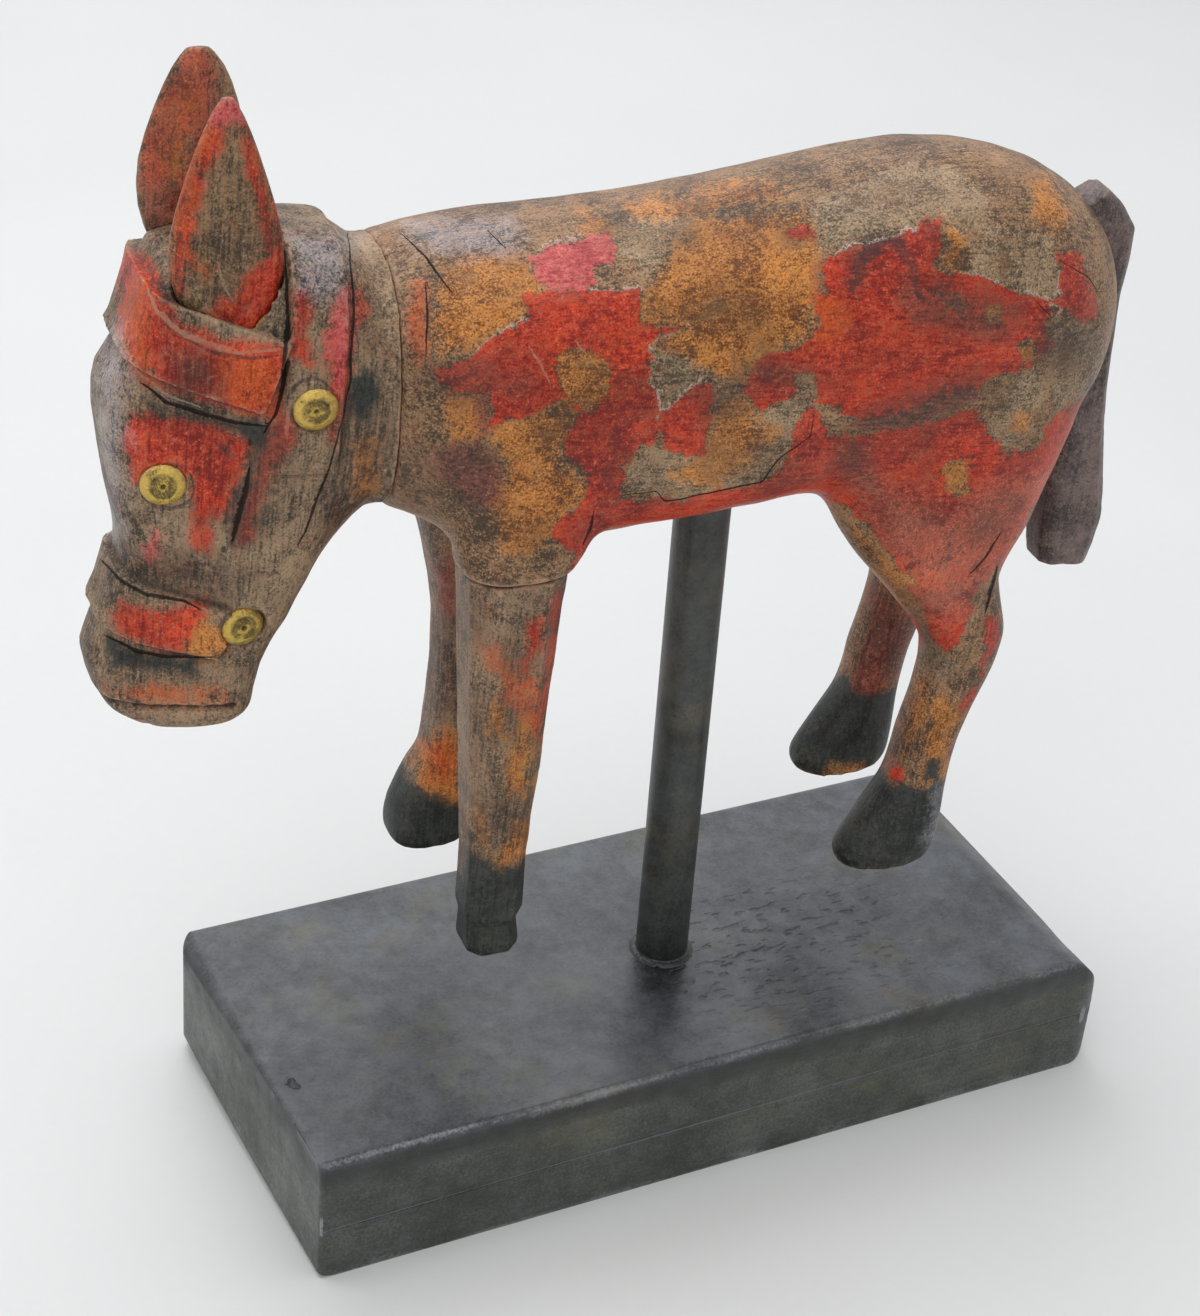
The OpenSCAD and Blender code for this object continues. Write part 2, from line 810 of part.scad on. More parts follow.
base_block();
post();
body();
head();
left_ear();
right_ear();
left_foreleg();
right_foreleg();
tail();
neck_dowel();
left_foreleg_dowel();
right_foreleg_dowel();
left_eye_tack();
right_eye_tack();
left_cheek_tack();
right_cheek_tack();
left_muzzle_tack();
right_muzzle_tack();
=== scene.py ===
"""Looks of a hand-carved, painted wooden donkey that stands on a black block.

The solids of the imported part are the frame.  Each carved piece is a fine copy
of its solid: softened, cut with facets, cracked and painted in worn coats.
"""

import logging
import math
from dataclasses import dataclass, field
from enum import Enum
from typing import Any, Union

import bmesh
import bpy
import numpy as np
from mathutils import Matrix, Vector


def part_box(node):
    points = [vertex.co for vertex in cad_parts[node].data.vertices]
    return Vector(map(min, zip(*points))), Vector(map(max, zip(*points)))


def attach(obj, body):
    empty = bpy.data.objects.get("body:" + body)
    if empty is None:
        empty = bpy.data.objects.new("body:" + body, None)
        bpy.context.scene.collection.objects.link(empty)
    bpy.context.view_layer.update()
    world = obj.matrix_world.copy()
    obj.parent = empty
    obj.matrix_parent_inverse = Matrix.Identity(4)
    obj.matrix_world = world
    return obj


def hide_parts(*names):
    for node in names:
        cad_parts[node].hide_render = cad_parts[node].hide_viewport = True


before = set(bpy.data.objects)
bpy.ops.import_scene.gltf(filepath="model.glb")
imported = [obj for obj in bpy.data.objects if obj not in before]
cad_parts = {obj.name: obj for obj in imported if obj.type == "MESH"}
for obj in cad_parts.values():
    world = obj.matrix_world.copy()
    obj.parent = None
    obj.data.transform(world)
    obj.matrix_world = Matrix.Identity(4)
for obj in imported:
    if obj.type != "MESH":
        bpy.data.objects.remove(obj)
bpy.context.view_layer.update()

LOG = logging.getLogger("donkey")
MM = 0.001
# Points of a solid that lie closer than this are merged, in metres
MERGE_GAP = 2e-6
Point2 = tuple[float, float]
Point3 = tuple[float, float, float]
Span = tuple[float, float, float, float]
Outline = tuple[Point2, ...]
Colour = tuple[float, float, float]

# The figure's own frame: post foot at hoof height, turned on the stand
FIGURE_FOOT = np.array([1.1, -2.4, 60.8])
FIGURE_TURN = math.radians(-5.2)
# Size of one pixel of the picture at the figure, in millimetres
PIXEL = 0.213
# Multipliers that scatter the keys of the lattice noise
LATTICE_STEPS = np.array([73856093, 19349663, 83492791])
SEED_STEP, FIRST_MIX, SECOND_MIX = 2654435761, 1274126177, 60493
# Depth that stands for far outside an outline, and how near one depths are worked out, in millimetres
FAR_OUTSIDE = -30.0
NEAR_OUTLINE = 12.0
# Distance that stands for far beside a thin mark, in shares of its width
FAR_BESIDE = 9.0
RING_STEPS = 12


def paint(red: int, green: int, blue: int) -> Colour:
    """Turn a colour chart value into scene light.

    Args:
        red: Red, 0 to 255.
        green: Green, 0 to 255.
        blue: Blue, 0 to 255.

    Returns:
        The linear colour.
    """
    def linear(v: float) -> float:
        """Linear light of one channel."""
        return v / 12.92 if v <= 0.04045 else ((v + 0.055) / 1.055) ** 2.4
    return linear(red / 255), linear(green / 255), linear(blue / 255)


def smooth_step(low: float, high: float, x: np.ndarray) -> np.ndarray:
    """Ease from 0 at low to 1 at high.

    Args:
        low: Where the rise starts.
        high: Where it ends.
        x: Values to ease.

    Returns:
        Values from 0 to 1.
    """
    t = np.clip((x - low) / (high - low), 0, 1)
    return t * t * (3 - 2 * t)


def within(span: Span, x: np.ndarray) -> np.ndarray:
    """Ease from 0 to 1 and back.

    Args:
        span: Where the rise starts and ends, and where the fall starts and ends.
        x: Values to ease.

    Returns:
        Values from 0 to 1.
    """
    return smooth_step(*span[:2], x) * (1 - smooth_step(*span[2:], x))


def knots(points: np.ndarray, size: float, seed: int) -> np.ndarray:
    """Smooth repeatable lattice noise.

    Args:
        points: Places in millimetres, one per row.
        size: Distance between two knots in millimetres.
        seed: Which of the many noises.

    Returns:
        Values from -1 to 1.
    """
    cell = np.floor(points / size).astype(np.int64)
    ease = smooth_step(0, 1, points / size - cell)
    total = np.zeros(len(points))
    for corner in range(8):
        step = np.array([corner & 1, corner >> 1 & 1, corner >> 2 & 1])
        at = (cell + step) * LATTICE_STEPS
        key = (at[:, 0] ^ at[:, 1] ^ at[:, 2]) + seed * SEED_STEP
        key = ((key ^ (key >> 13)) * FIRST_MIX) & 0xFFFFFF
        key = ((key ^ (key >> 9)) * SECOND_MIX) & 0xFFFF
        weight = np.prod(np.where(step, ease, 1 - ease), axis=1)
        total += weight * (key / 32767.5 - 1)
    return total


def knot_pairs(points: np.ndarray, size: float, seeds: tuple[int, int]) -> np.ndarray:
    """Two noises side by side.

    Args:
        points: Places in millimetres, one per row.
        size: Distance between two knots in millimetres.
        seeds: Which two noises.

    Returns:
        Two values from -1 to 1 for each point.
    """
    return np.stack([knots(points, size, seed) for seed in seeds], axis=1)


def turned(rows: np.ndarray, angle: float) -> np.ndarray:
    """Turn vectors about the upright axis.

    Args:
        rows: Vectors, one per row.
        angle: Turn in radians.

    Returns:
        The turned vectors.
    """
    c, s = math.cos(angle), math.sin(angle)
    return rows @ np.array([[c, s, 0], [-s, c, 0], [0, 0, 1]])


# Meshes


def points_of(mesh: bpy.types.Mesh) -> np.ndarray:
    """Points of a mesh.

    Args:
        mesh: The mesh.

    Returns:
        Places in millimetres, one per row.
    """
    flat = np.empty(len(mesh.vertices) * 3, np.float32)
    mesh.vertices.foreach_get("co", flat)
    return flat.reshape(-1, 3).astype(float) / MM


def move_points(mesh: bpy.types.Mesh, rows: np.ndarray) -> None:
    """Put the points of a mesh in new places.

    Args:
        mesh: The mesh.
        rows: Places in millimetres, one per row.
    """
    mesh.vertices.foreach_set("co", (rows * MM).astype(np.float32).ravel())
    mesh.update()


def store_values(mesh: bpy.types.Mesh, name: str, values: np.ndarray | float) -> None:
    """Store one number per point for the finish.

    Args:
        mesh: The mesh.
        name: Name of the attribute.
        values: One number for each point, or one for all.
    """
    made = mesh.attributes.new(name, "FLOAT", "POINT")
    made.data.foreach_set("value", np.broadcast_to(values, len(mesh.vertices)).astype(np.float32))


def solid_shape(node: str) -> bmesh.types.BMesh:
    """Copy the mesh of a solid and merge its doubles.

    Args:
        node: Name of the solid.

    Returns:
        The shape.
    """
    shape = bmesh.new()
    shape.from_mesh(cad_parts[node].data)
    bmesh.ops.remove_doubles(shape, verts=shape.verts, dist=MERGE_GAP)
    return shape


def closed_mesh(shape: bmesh.types.BMesh, name: str) -> bpy.types.Mesh:
    """Turn a shape into a mesh and free it.

    Args:
        shape: The shape.
        name: Name of the mesh.

    Returns:
        The mesh.
    """
    mesh = bpy.data.meshes.new(name)
    shape.to_mesh(mesh)
    shape.free()
    return mesh


def shown(mesh: bpy.types.Mesh) -> bpy.types.Object:
    """Put a mesh into the scene, at the origin.

    Args:
        mesh: The mesh.

    Returns:
        An object with the mesh's name.
    """
    made = bpy.data.objects.new(mesh.name, mesh)
    bpy.context.scene.collection.objects.link(made)
    return made


def give_finish(mesh: bpy.types.Mesh, material: bpy.types.Material) -> None:
    """Give a mesh one material.

    Args:
        mesh: The mesh.
        material: Its only material.
    """
    mesh.materials.clear()
    mesh.materials.append(material)


# View and paint layout


@dataclass(frozen=True)
class Viewpoint:
    """The camera of the picture, in metres and picture pixels."""

    eye: Point3 = (-0.25913, -0.43370, 0.43248)
    right: Point3 = (0.89637, -0.43658, 0.07696)
    down: Point3 = (-0.17897, -0.51521, -0.83817)
    ahead: Point3 = (0.40558, 0.73754, -0.53995)
    lens: float = 83.017
    sensor: float = 36.0
    width: int = 1200
    height: int = 1316

    def places(self, points: np.ndarray) -> np.ndarray:
        """Places of points on the picture.

        Args:
            points: Points in the figure's frame.

        Returns:
            Right and down in millimetres at the figure, one row per point.
        """
        away = turned(points, FIGURE_TURN) + FIGURE_FOOT - np.array(self.eye) / MM
        scale = self.lens / self.sensor * self.width / (away @ np.array(self.ahead))
        across = self.width / 2 + scale * (away @ np.array(self.right))
        below = self.height / 2 + scale * (away @ np.array(self.down))
        return PIXEL * np.stack([across, below], axis=1)

    def faced(self, normals: np.ndarray) -> np.ndarray:
        """How squarely directions in the figure's frame face the camera, -1 to 1."""
        return turned(normals, FIGURE_TURN) @ -np.array(self.ahead)


VIEW = Viewpoint()


@dataclass(frozen=True)
class Sheet:
    """Enlarged part of the picture on which outlines are drawn.

    left and top are the picture's pixel in the sheet's corner, zoom the number
    of sheet units for one pixel.
    """

    left: float
    top: float
    zoom: float

    def placed(self, points: Outline) -> np.ndarray:
        """Move drawn points to the picture.

        Args:
            points: Points in sheet units.

        Returns:
            Right and down in millimetres at the figure, one row per point.
        """
        return PIXEL * (np.array([self.left, self.top]) + np.array(points) / self.zoom)


class Coat(Enum):
    """Coats of paint, from the lowest to the topmost; some also carry painted shade and painted sheen."""

    OLIVE = "olive"
    OCHRE = "ochre"
    MAROON = "maroon"
    RED = "red"
    ORANGE = "orange"
    CRIMSON = "crimson"
    # Translucent dark brown: smudges of smoke, and painted shade where a part turns from the light.
    SMOKE = "smoke"
    # Black paint of the hooves, also laid as painted shade under the straps.
    BLACK = "black"
    # Pale bluish coat: waxy bloom, and painted sheen and reflection on lit tops and edges.
    BLOOM = "bloom_and_sheen"
    DUST = "dust"


class Mark(Enum):
    """Thin marks on the surface, among them painted shade lines and a painted highlight."""

    # Dark lines: cracks, and painted shade lines under the raised straps.
    CRACK_AND_SHADE = "crack"
    FLAKE = "flake"
    # Pale lines: scratches, and a painted highlight on the brow strap's top ledge.
    SCRATCH_AND_HIGHLIGHT = "scratch"
    # Dark strokes: brushwork, and painted shade round the tacks and beside the cheek crack.
    STROKE = "stroke"
    FOLD = "fold"


# Ending of the attribute that holds how strongly a mark shows
REACH = "_reach"


@dataclass(frozen=True)
class Patch:
    """Area of one coat, or hole in it, as an outline on a sheet."""

    coat: Coat
    sheet: Sheet
    outline: Outline
    hole: bool = False

    def depth(self, at: np.ndarray) -> np.ndarray:
        """Distance inside the outline.

        Args:
            at: Places on the picture in millimetres, one per row.

        Returns:
            Millimetres from the outline, positive inside, and FAR_OUTSIDE where it isn't near.
        """
        corners = self.sheet.placed(self.outline)
        low, high = corners.min(0) - NEAR_OUTLINE, corners.max(0) + NEAR_OUTLINE
        near = np.all((at > low) & (at < high), axis=1)
        spot = at[near]
        best = np.full(len(spot), FAR_OUTSIDE ** 2)
        inside = np.zeros(len(spot), bool)
        for a, b in zip(corners, np.roll(corners, -1, axis=0)):
            run = b - a
            t = np.clip((spot - a) @ run / (run @ run), 0, 1)
            best = np.minimum(best, np.sum((spot - a - t[:, None] * run) ** 2, axis=1))
            rises = (a[1] > spot[:, 1]) != (b[1] > spot[:, 1])
            slope = run[0] / (run[1] if run[1] else 1e-9)
            inside ^= rises & (spot[:, 0] < a[0] + (spot[:, 1] - a[1]) * slope)
        found = np.full(len(at), FAR_OUTSIDE)
        found[near] = np.where(inside, 1, -1) * np.sqrt(best)
        return found


@dataclass(frozen=True)
class Line:
    """Thin mark along a path on a sheet, with its width in millimetres."""

    mark: Mark
    width: float
    sheet: Sheet
    path: Outline

    def sides(self, at: np.ndarray) -> tuple[np.ndarray, np.ndarray]:
        """Where places lie beside the path, and how strongly the mark shows there.

        Args:
            at: Places on the picture in millimetres, one per row.

        Returns:
            Signed distances in shares of the width, and strengths from 0 to 1.
        """
        nearest = np.full(len(at), np.inf)
        side, past = np.full(len(at), FAR_BESIDE), np.zeros(len(at))
        path = self.sheet.placed(self.path)
        count = len(path) - 1
        for k in range(count):
            a, b = path[k], path[k + 1]
            run = b - a
            length = np.hypot(*run)
            share = (at - a) @ run / length ** 2
            t = np.clip(share, 0, 1)
            away = at - a - t[:, None] * run
            gap = np.hypot(away[:, 0], away[:, 1])
            turn = np.sign(run[0] * away[:, 1] - run[1] * away[:, 0])
            taper = np.sin(np.pi * np.clip((k + t) / count, 0.05, 0.95))
            over = np.maximum(-share * (k == 0), (share - 1) * (k == count - 1)) * length
            closer = gap < nearest
            nearest = np.where(closer, gap, nearest)
            side = np.where(closer, turn * gap / (self.width * (0.3 + 0.7 * taper)), side)
            past = np.where(closer, over, past)
        close = 1 - smooth_step(2 * self.width + 0.6, 4 * self.width + 2, nearest)
        return np.clip(side, -FAR_BESIDE, FAR_BESIDE), close * (1 - smooth_step(0, 1, past))


def ring(x: float, y: float, wide: float, tall: float) -> Outline:
    """Closed path round a tack.

    Args:
        x: Middle, right on the sheet.
        y: Middle, down on the sheet.
        wide: Half width.
        tall: Half height.

    Returns:
        Points of an ellipse.
    """
    turns = [2 * math.pi * k / RING_STEPS for k in range(RING_STEPS + 1)]
    return tuple((x + wide * math.cos(a), y + tall * math.sin(a)) for a in turns)


def areas(coat: Coat, sheet: Sheet, *outlines: Outline) -> tuple[Patch, ...]:
    """Areas of one coat that are drawn on one sheet.

    Args:
        coat: The coat.
        sheet: Sheet of the outlines.
        *outlines: One outline for each area.

    Returns:
        The areas, in the order given.
    """
    return tuple(Patch(coat, sheet, outline) for outline in outlines)


def bared(
    under: Coat, sheet: Sheet, outline: Outline, upper: Coat = Coat.RED
) -> tuple[Patch, Patch]:
    """Spot where an upper coat is gone and a lower one shows.

    Args:
        under: The lower coat.
        sheet: Sheet of the outline.
        outline: Outline of the spot.
        upper: The coat that is gone.

    Returns:
        The hole in the upper coat and the spot of the lower one.
    """
    return Patch(upper, sheet, outline, True), Patch(under, sheet, outline)


# Enlarged parts of the picture, and the worn coats and marks drawn on them
SHOULDER = Sheet(380, 160, 3.267)
HAUNCH = Sheet(760, 110, 2.958)
EARS = Sheet(70, 30, 4.126)
FACE = Sheet(70, 330, 3.824)
BACK = Sheet(380, 180, 4.356)
CROUP = Sheet(700, 120, 3.564)
PROFILE = Sheet(70, 230, 3.075)
FORELEG = Sheet(430, 560, 5.406)
HIND_LEG = Sheet(820, 520, 5.6)
HIND_HOOF = Sheet(770, 680, 7.126)
FORE_HOOF = Sheet(440, 820, 10.45)
# Front edge of the hind leg, where the red is gone and the bared wood is smoked and darkened with painted
# shade
SHIN = ((60, 10), (130, 60), (250, 180), (360, 300), (420, 370), (500, 380), (560, 460), (600, 560),
        (600, 620), (660, 700), (720, 770), (780, 800), (760, 860), (660, 880), (620, 800),
        (560, 640), (460, 500), (300, 330), (190, 210), (110, 110))
BODY_PATCHES: tuple[Patch, ...] = (
    *areas(
        Coat.OLIVE, SHOULDER,
        ((760, 190), (1030, 180), (1020, 230), (960, 270), (940, 330), (890, 370), (910, 430),
         (860, 445), (840, 320), (780, 310), (755, 235)),
        ((885, 610), (1010, 650), (1100, 700), (1040, 720), (960, 790), (915, 840), (920, 745),
         (880, 720)),
    ),
    *areas(
        Coat.OLIVE, HAUNCH,
        ((165, 330), (140, 290), (250, 230), (400, 160), (560, 170), (640, 230), (700, 330),
         (860, 380), (892, 480), (880, 555), (850, 562), (700, 515), (620, 480), (610, 380),
         (500, 320), (390, 365), (230, 415), (180, 400)),
        ((880, 620), (1010, 640), (1030, 760), (960, 850), (880, 900), (860, 760)),
        ((650, 830), (760, 780), (830, 760), (835, 860), (780, 900), (830, 960), (760, 1020),
         (700, 990), (670, 900)),
    ),
    *areas(
        Coat.OLIVE, SHOULDER,
        ((925, 960), (1060, 960), (1090, 770), (1200, 740), (1250, 850), (1390, 700), (1425, 840),
         (1400, 920), (1290, 1020), (1250, 1050), (1000, 1110), (920, 1110), (900, 1080), (800, 1090),
         (810, 1010), (870, 930)),
    ),
    *areas(
        Coat.OCHRE, SHOULDER,
        ((200, 330), (300, 300), (450, 330), (520, 400), (480, 510), (380, 565), (290, 625),
         (200, 640), (170, 560), (190, 430)),
        ((650, 180), (740, 172), (760, 235), (680, 245)),
        ((855, 440), (990, 250), (1030, 200), (1380, 170), (1420, 260), (1410, 470), (1400, 570),
         (1250, 650), (1190, 730), (1100, 700), (1010, 650), (900, 600), (1000, 548), (850, 535)),
        ((360, 870), (600, 800), (640, 840), (590, 980), (640, 1020), (690, 1090), (600, 1160),
         (540, 1250), (500, 1290), (390, 1270), (350, 1150), (420, 1000), (370, 920)),
        ((1090, 790), (1200, 760), (1240, 860), (1300, 900), (1200, 1000), (1060, 1060), (960, 1030),
         (1060, 960)),
        ((560, 600), (780, 610), (790, 830), (580, 840)),
        ((200, 780), (330, 760), (335, 910), (230, 920)),
        ((795, 150), (1140, 90), (1300, 60), (1320, 120), (1140, 150), (1060, 190), (830, 185)),
    ),
    *areas(
        Coat.OCHRE, HAUNCH,
        ((540, 340), (600, 370), (612, 440), (600, 480), (520, 470), (550, 400)),
        ((815, 210), (850, 205), (900, 310), (895, 370), (830, 320)),
        ((540, 1050), (620, 1030), (640, 1100), (580, 1180), (530, 1120)),
        ((760, 900), (790, 910), (785, 950), (765, 950)),
        ((300, 1290), (380, 1380), (450, 1440), (430, 1480), (370, 1430), (290, 1330)),
    ),
    *areas(
        Coat.MAROON, SHOULDER,
        ((190, 940), (330, 930), (400, 1010), (400, 1090), (350, 1140), (260, 1120), (200, 1040)),
        ((170, 690), (330, 650), (370, 690), (370, 850), (330, 900), (320, 770), (200, 760)),
        ((395, 720), (490, 705), (520, 750), (440, 785)),
    ),
    *areas(
        Coat.MAROON, HAUNCH,
        ((280, 890), (380, 850), (560, 780), (640, 800), (640, 850), (480, 930), (290, 950)),
        ((470, 520), (560, 500), (640, 600), (560, 650), (480, 590)),
        ((725, 575), (780, 570), (785, 620), (735, 625)),
        ((200, 470), (270, 420), (300, 470), (270, 560), (190, 560)),
    ),
    *areas(
        Coat.RED, SHOULDER,
        ((180, 690), (290, 650), (380, 575), (480, 515), (470, 450), (640, 430), (850, 418),
         (848, 540), (1000, 548), (870, 600), (890, 650), (880, 725), (920, 745), (905, 840),
         (915, 925), (850, 935), (795, 1010), (800, 1090), (745, 1150), (700, 1180), (650, 1200),
         (640, 1150), (680, 1080), (650, 1010), (590, 980), (600, 900), (640, 830), (600, 780),
         (480, 840), (360, 860), (360, 760), (190, 745)),
    ),
    Patch(
        Coat.RED, SHOULDER,
        ((580, 640), (640, 622), (720, 640), (752, 700), (738, 765), (680, 815), (620, 780), (590, 720)),
        True,
    ),
    *areas(
        Coat.RED, SHOULDER,
        ((905, 840), (960, 790), (1040, 725), (1090, 705), (1090, 780), (1060, 960), (1000, 965),
         (920, 920)),
        ((690, 1150), (800, 1098), (920, 1115), (1000, 1118), (1250, 1058), (1400, 930), (1440, 1010),
         (1400, 1090), (1100, 1170), (760, 1215), (700, 1260), (615, 1380), (590, 1385), (640, 1290),
         (560, 1240), (580, 1180), (650, 1140)),
        ((1310, 215), (1400, 205), (1422, 255), (1340, 250)),
    ),
    *areas(
        Coat.RED, HAUNCH,
        ((225, 420), (310, 390), (390, 365), (460, 350), (490, 318), (530, 330), (555, 400),
         (510, 470), (600, 480), (690, 510), (760, 535), (850, 560), (880, 600), (850, 640),
         (870, 700), (800, 760), (700, 790), (650, 815), (560, 838), (420, 882), (300, 915),
         (230, 890), (160, 850), (100, 850), (0, 890), (-60, 830), (0, 740), (130, 690), (190, 630),
         (165, 580), (200, 540), (190, 470)),
        ((870, 420), (940, 415), (985, 530), (1005, 640), (950, 620), (880, 590), (850, 570),
         (890, 540), (885, 470)),
        ((150, 860), (200, 960), (280, 960), (480, 930), (640, 880), (680, 960), (720, 1010),
         (830, 1000), (880, 900), (960, 850), (1010, 900), (920, 1050), (790, 1200), (710, 1330),
         (650, 1400), (570, 1600), (500, 1600), (460, 1440), (380, 1300), (270, 1180), (160, 1120),
         (0, 1170), (-20, 1110), (60, 1050)),
    ),
    *areas(Coat.ORANGE, SHOULDER, ((90, 520), (120, 400), (155, 380), (152, 640), (120, 660), (95, 600))),
    *areas(Coat.ORANGE, HAUNCH, ((160, 560), (250, 545), (275, 600), (240, 680), (140, 690), (190, 620))),
    *areas(
        Coat.CRIMSON, SHOULDER,
        ((495, 320), (560, 280), (740, 235), (760, 265), (775, 330), (690, 370), (720, 410),
         (600, 420), (520, 395)),
    ),
    # Pale bluish area on the withers: painted sheen of the wax.
    *areas(
        Coat.BLOOM, BACK,
        ((120, 210), (330, 170), (560, 190), (620, 260), (520, 310), (380, 330), (240, 310), (150, 270)),
    ),
    *areas(
        Coat.SMOKE, BACK,
        ((230, 820), (480, 770), (520, 860), (480, 940), (300, 940), (220, 900)),
        ((540, 870), (660, 850), (690, 920), (610, 960), (540, 930)),
        ((1290, 860), (1440, 850), (1440, 960), (1330, 960)),
        ((0, 1200), (180, 1170), (280, 1350), (330, 1500), (120, 1450), (0, 1400)),
        ((240, 1170), (430, 1140), (490, 1200), (470, 1380), (420, 1460), (300, 1420), (250, 1280)),
    ),
    *areas(
        Coat.SMOKE, CROUP,
        ((700, 560), (900, 580), (1040, 640), (1130, 700), (1090, 790), (900, 760), (760, 720),
         (690, 640)),
        ((560, 1040), (740, 980), (880, 920), (1000, 880), (1030, 930), (900, 1040), (780, 1100),
         (600, 1110)),
        ((170, 880), (300, 850), (380, 900), (330, 960), (210, 960)),
        ((1050, 650), (1160, 640), (1170, 730), (1060, 740)),
        ((480, 1120), (620, 1150), (640, 1350), (560, 1330), (470, 1220)),
        ((1200, 720), (1340, 680), (1400, 800), (1300, 900), (1200, 850)),
        ((540, 430), (620, 420), (640, 470), (580, 560), (560, 630), (520, 600)),
        ((20, 960), (150, 900), (230, 960), (120, 1060), (0, 1080)),
    ),
    *bared(Coat.OCHRE, CROUP, ((830, 620), (930, 620), (960, 680), (870, 700))),
    *bared(Coat.OCHRE, CROUP, ((1000, 660), (1080, 650), (1090, 720), (1020, 730))),
    *bared(Coat.OCHRE, CROUP, ((860, 1220), (960, 1210), (960, 1340), (870, 1330))),
    *bared(Coat.OCHRE, CROUP, ((1130, 800), (1190, 790), (1200, 860), (1150, 870))),
    *bared(Coat.OLIVE, CROUP, ((1290, 750), (1380, 720), (1420, 860), (1340, 930), (1290, 850))),
    *bared(Coat.OLIVE, CROUP, ((330, 900), (400, 900), (420, 980), (360, 1000))),
    *bared(Coat.OLIVE, HIND_LEG, SHIN),
    *areas(Coat.SMOKE, HIND_LEG, SHIN),
    *bared(
        Coat.OCHRE, HIND_LEG,
        ((200, 50), (330, 180), (420, 280), (540, 300), (560, 420), (600, 560), (560, 470), (500, 380),
         (420, 360), (330, 250), (240, 150)),
    ),
    *areas(
        Coat.OCHRE, HIND_LEG,
        ((640, 1000), (790, 1060), (780, 1150), (700, 1400), (680, 1500), (560, 1480), (600, 1300),
         (560, 1240), (620, 1100)),
        ((545, 850), (590, 900), (595, 1080), (560, 1180), (500, 1300), (440, 1330), (460, 1240),
         (490, 1130), (520, 1000)),
    ),
    *areas(
        Coat.MAROON, HIND_LEG,
        ((500, 1010), (480, 1130), (440, 1330), (400, 1420), (350, 1380), (420, 1200)),
    ),
    *areas(Coat.RED, HIND_LEG, ((400, 1410), (470, 1380), (470, 1450), (390, 1460))),
    *areas(Coat.BLACK, HIND_LEG, ((600, 1350), (660, 1350), (650, 1460), (570, 1470))),
    *areas(
        Coat.RED, HIND_LEG,
        ((900, 800), (920, 880), (850, 1050), (780, 1080), (800, 1000), (880, 900)),
        ((920, 540), (1000, 520), (1020, 640), (980, 760), (920, 800), (930, 660)),
    ),
    *areas(
        Coat.MAROON, HIND_LEG,
        ((215, 220), (300, 330), (420, 460), (500, 570), (540, 650), (480, 780), (400, 950),
         (360, 1180), (150, 1150), (110, 1050), (170, 850), (230, 640), (280, 450)),
    ),
    *areas(Coat.OCHRE, HIND_LEG, ((320, 900), (390, 900), (370, 1000), (310, 1000))),
    *areas(Coat.SMOKE, HIND_LEG, ((330, 560), (450, 560), (400, 740), (300, 700))),
    *areas(
        Coat.BLACK, HIND_LEG,
        ((55, 930), (160, 860), (170, 900), (120, 1040), (80, 1080), (0, 1120), (0, 1010)),
    ),
    *bared(
        Coat.OCHRE, HIND_HOOF,
        ((380, 660), (440, 590), (540, 600), (660, 590), (690, 690), (560, 740), (400, 760)),
        Coat.BLACK,
    ),
    # Pale strip down the near hind hoof's edge: painted reflection.
    *areas(
        Coat.BLOOM, HIND_HOOF,
        ((1150, 850), (1220, 800), (1190, 1000), (1160, 1140), (1090, 1180), (1130, 1000)),
    ),
    *areas(
        Coat.DUST, HAUNCH,
        ((330, 1100), (560, 1180), (700, 1100), (850, 1080), (780, 1210), (700, 1330), (600, 1480),
         (520, 1500), (470, 1400), (380, 1280)),
        ((930, 360), (965, 400), (1010, 520), (1050, 700), (1040, 800), (1010, 760), (990, 600),
         (960, 480)),
        ((150, 250), (420, 150), (600, 180), (660, 260), (480, 300), (250, 390)),
    ),
)
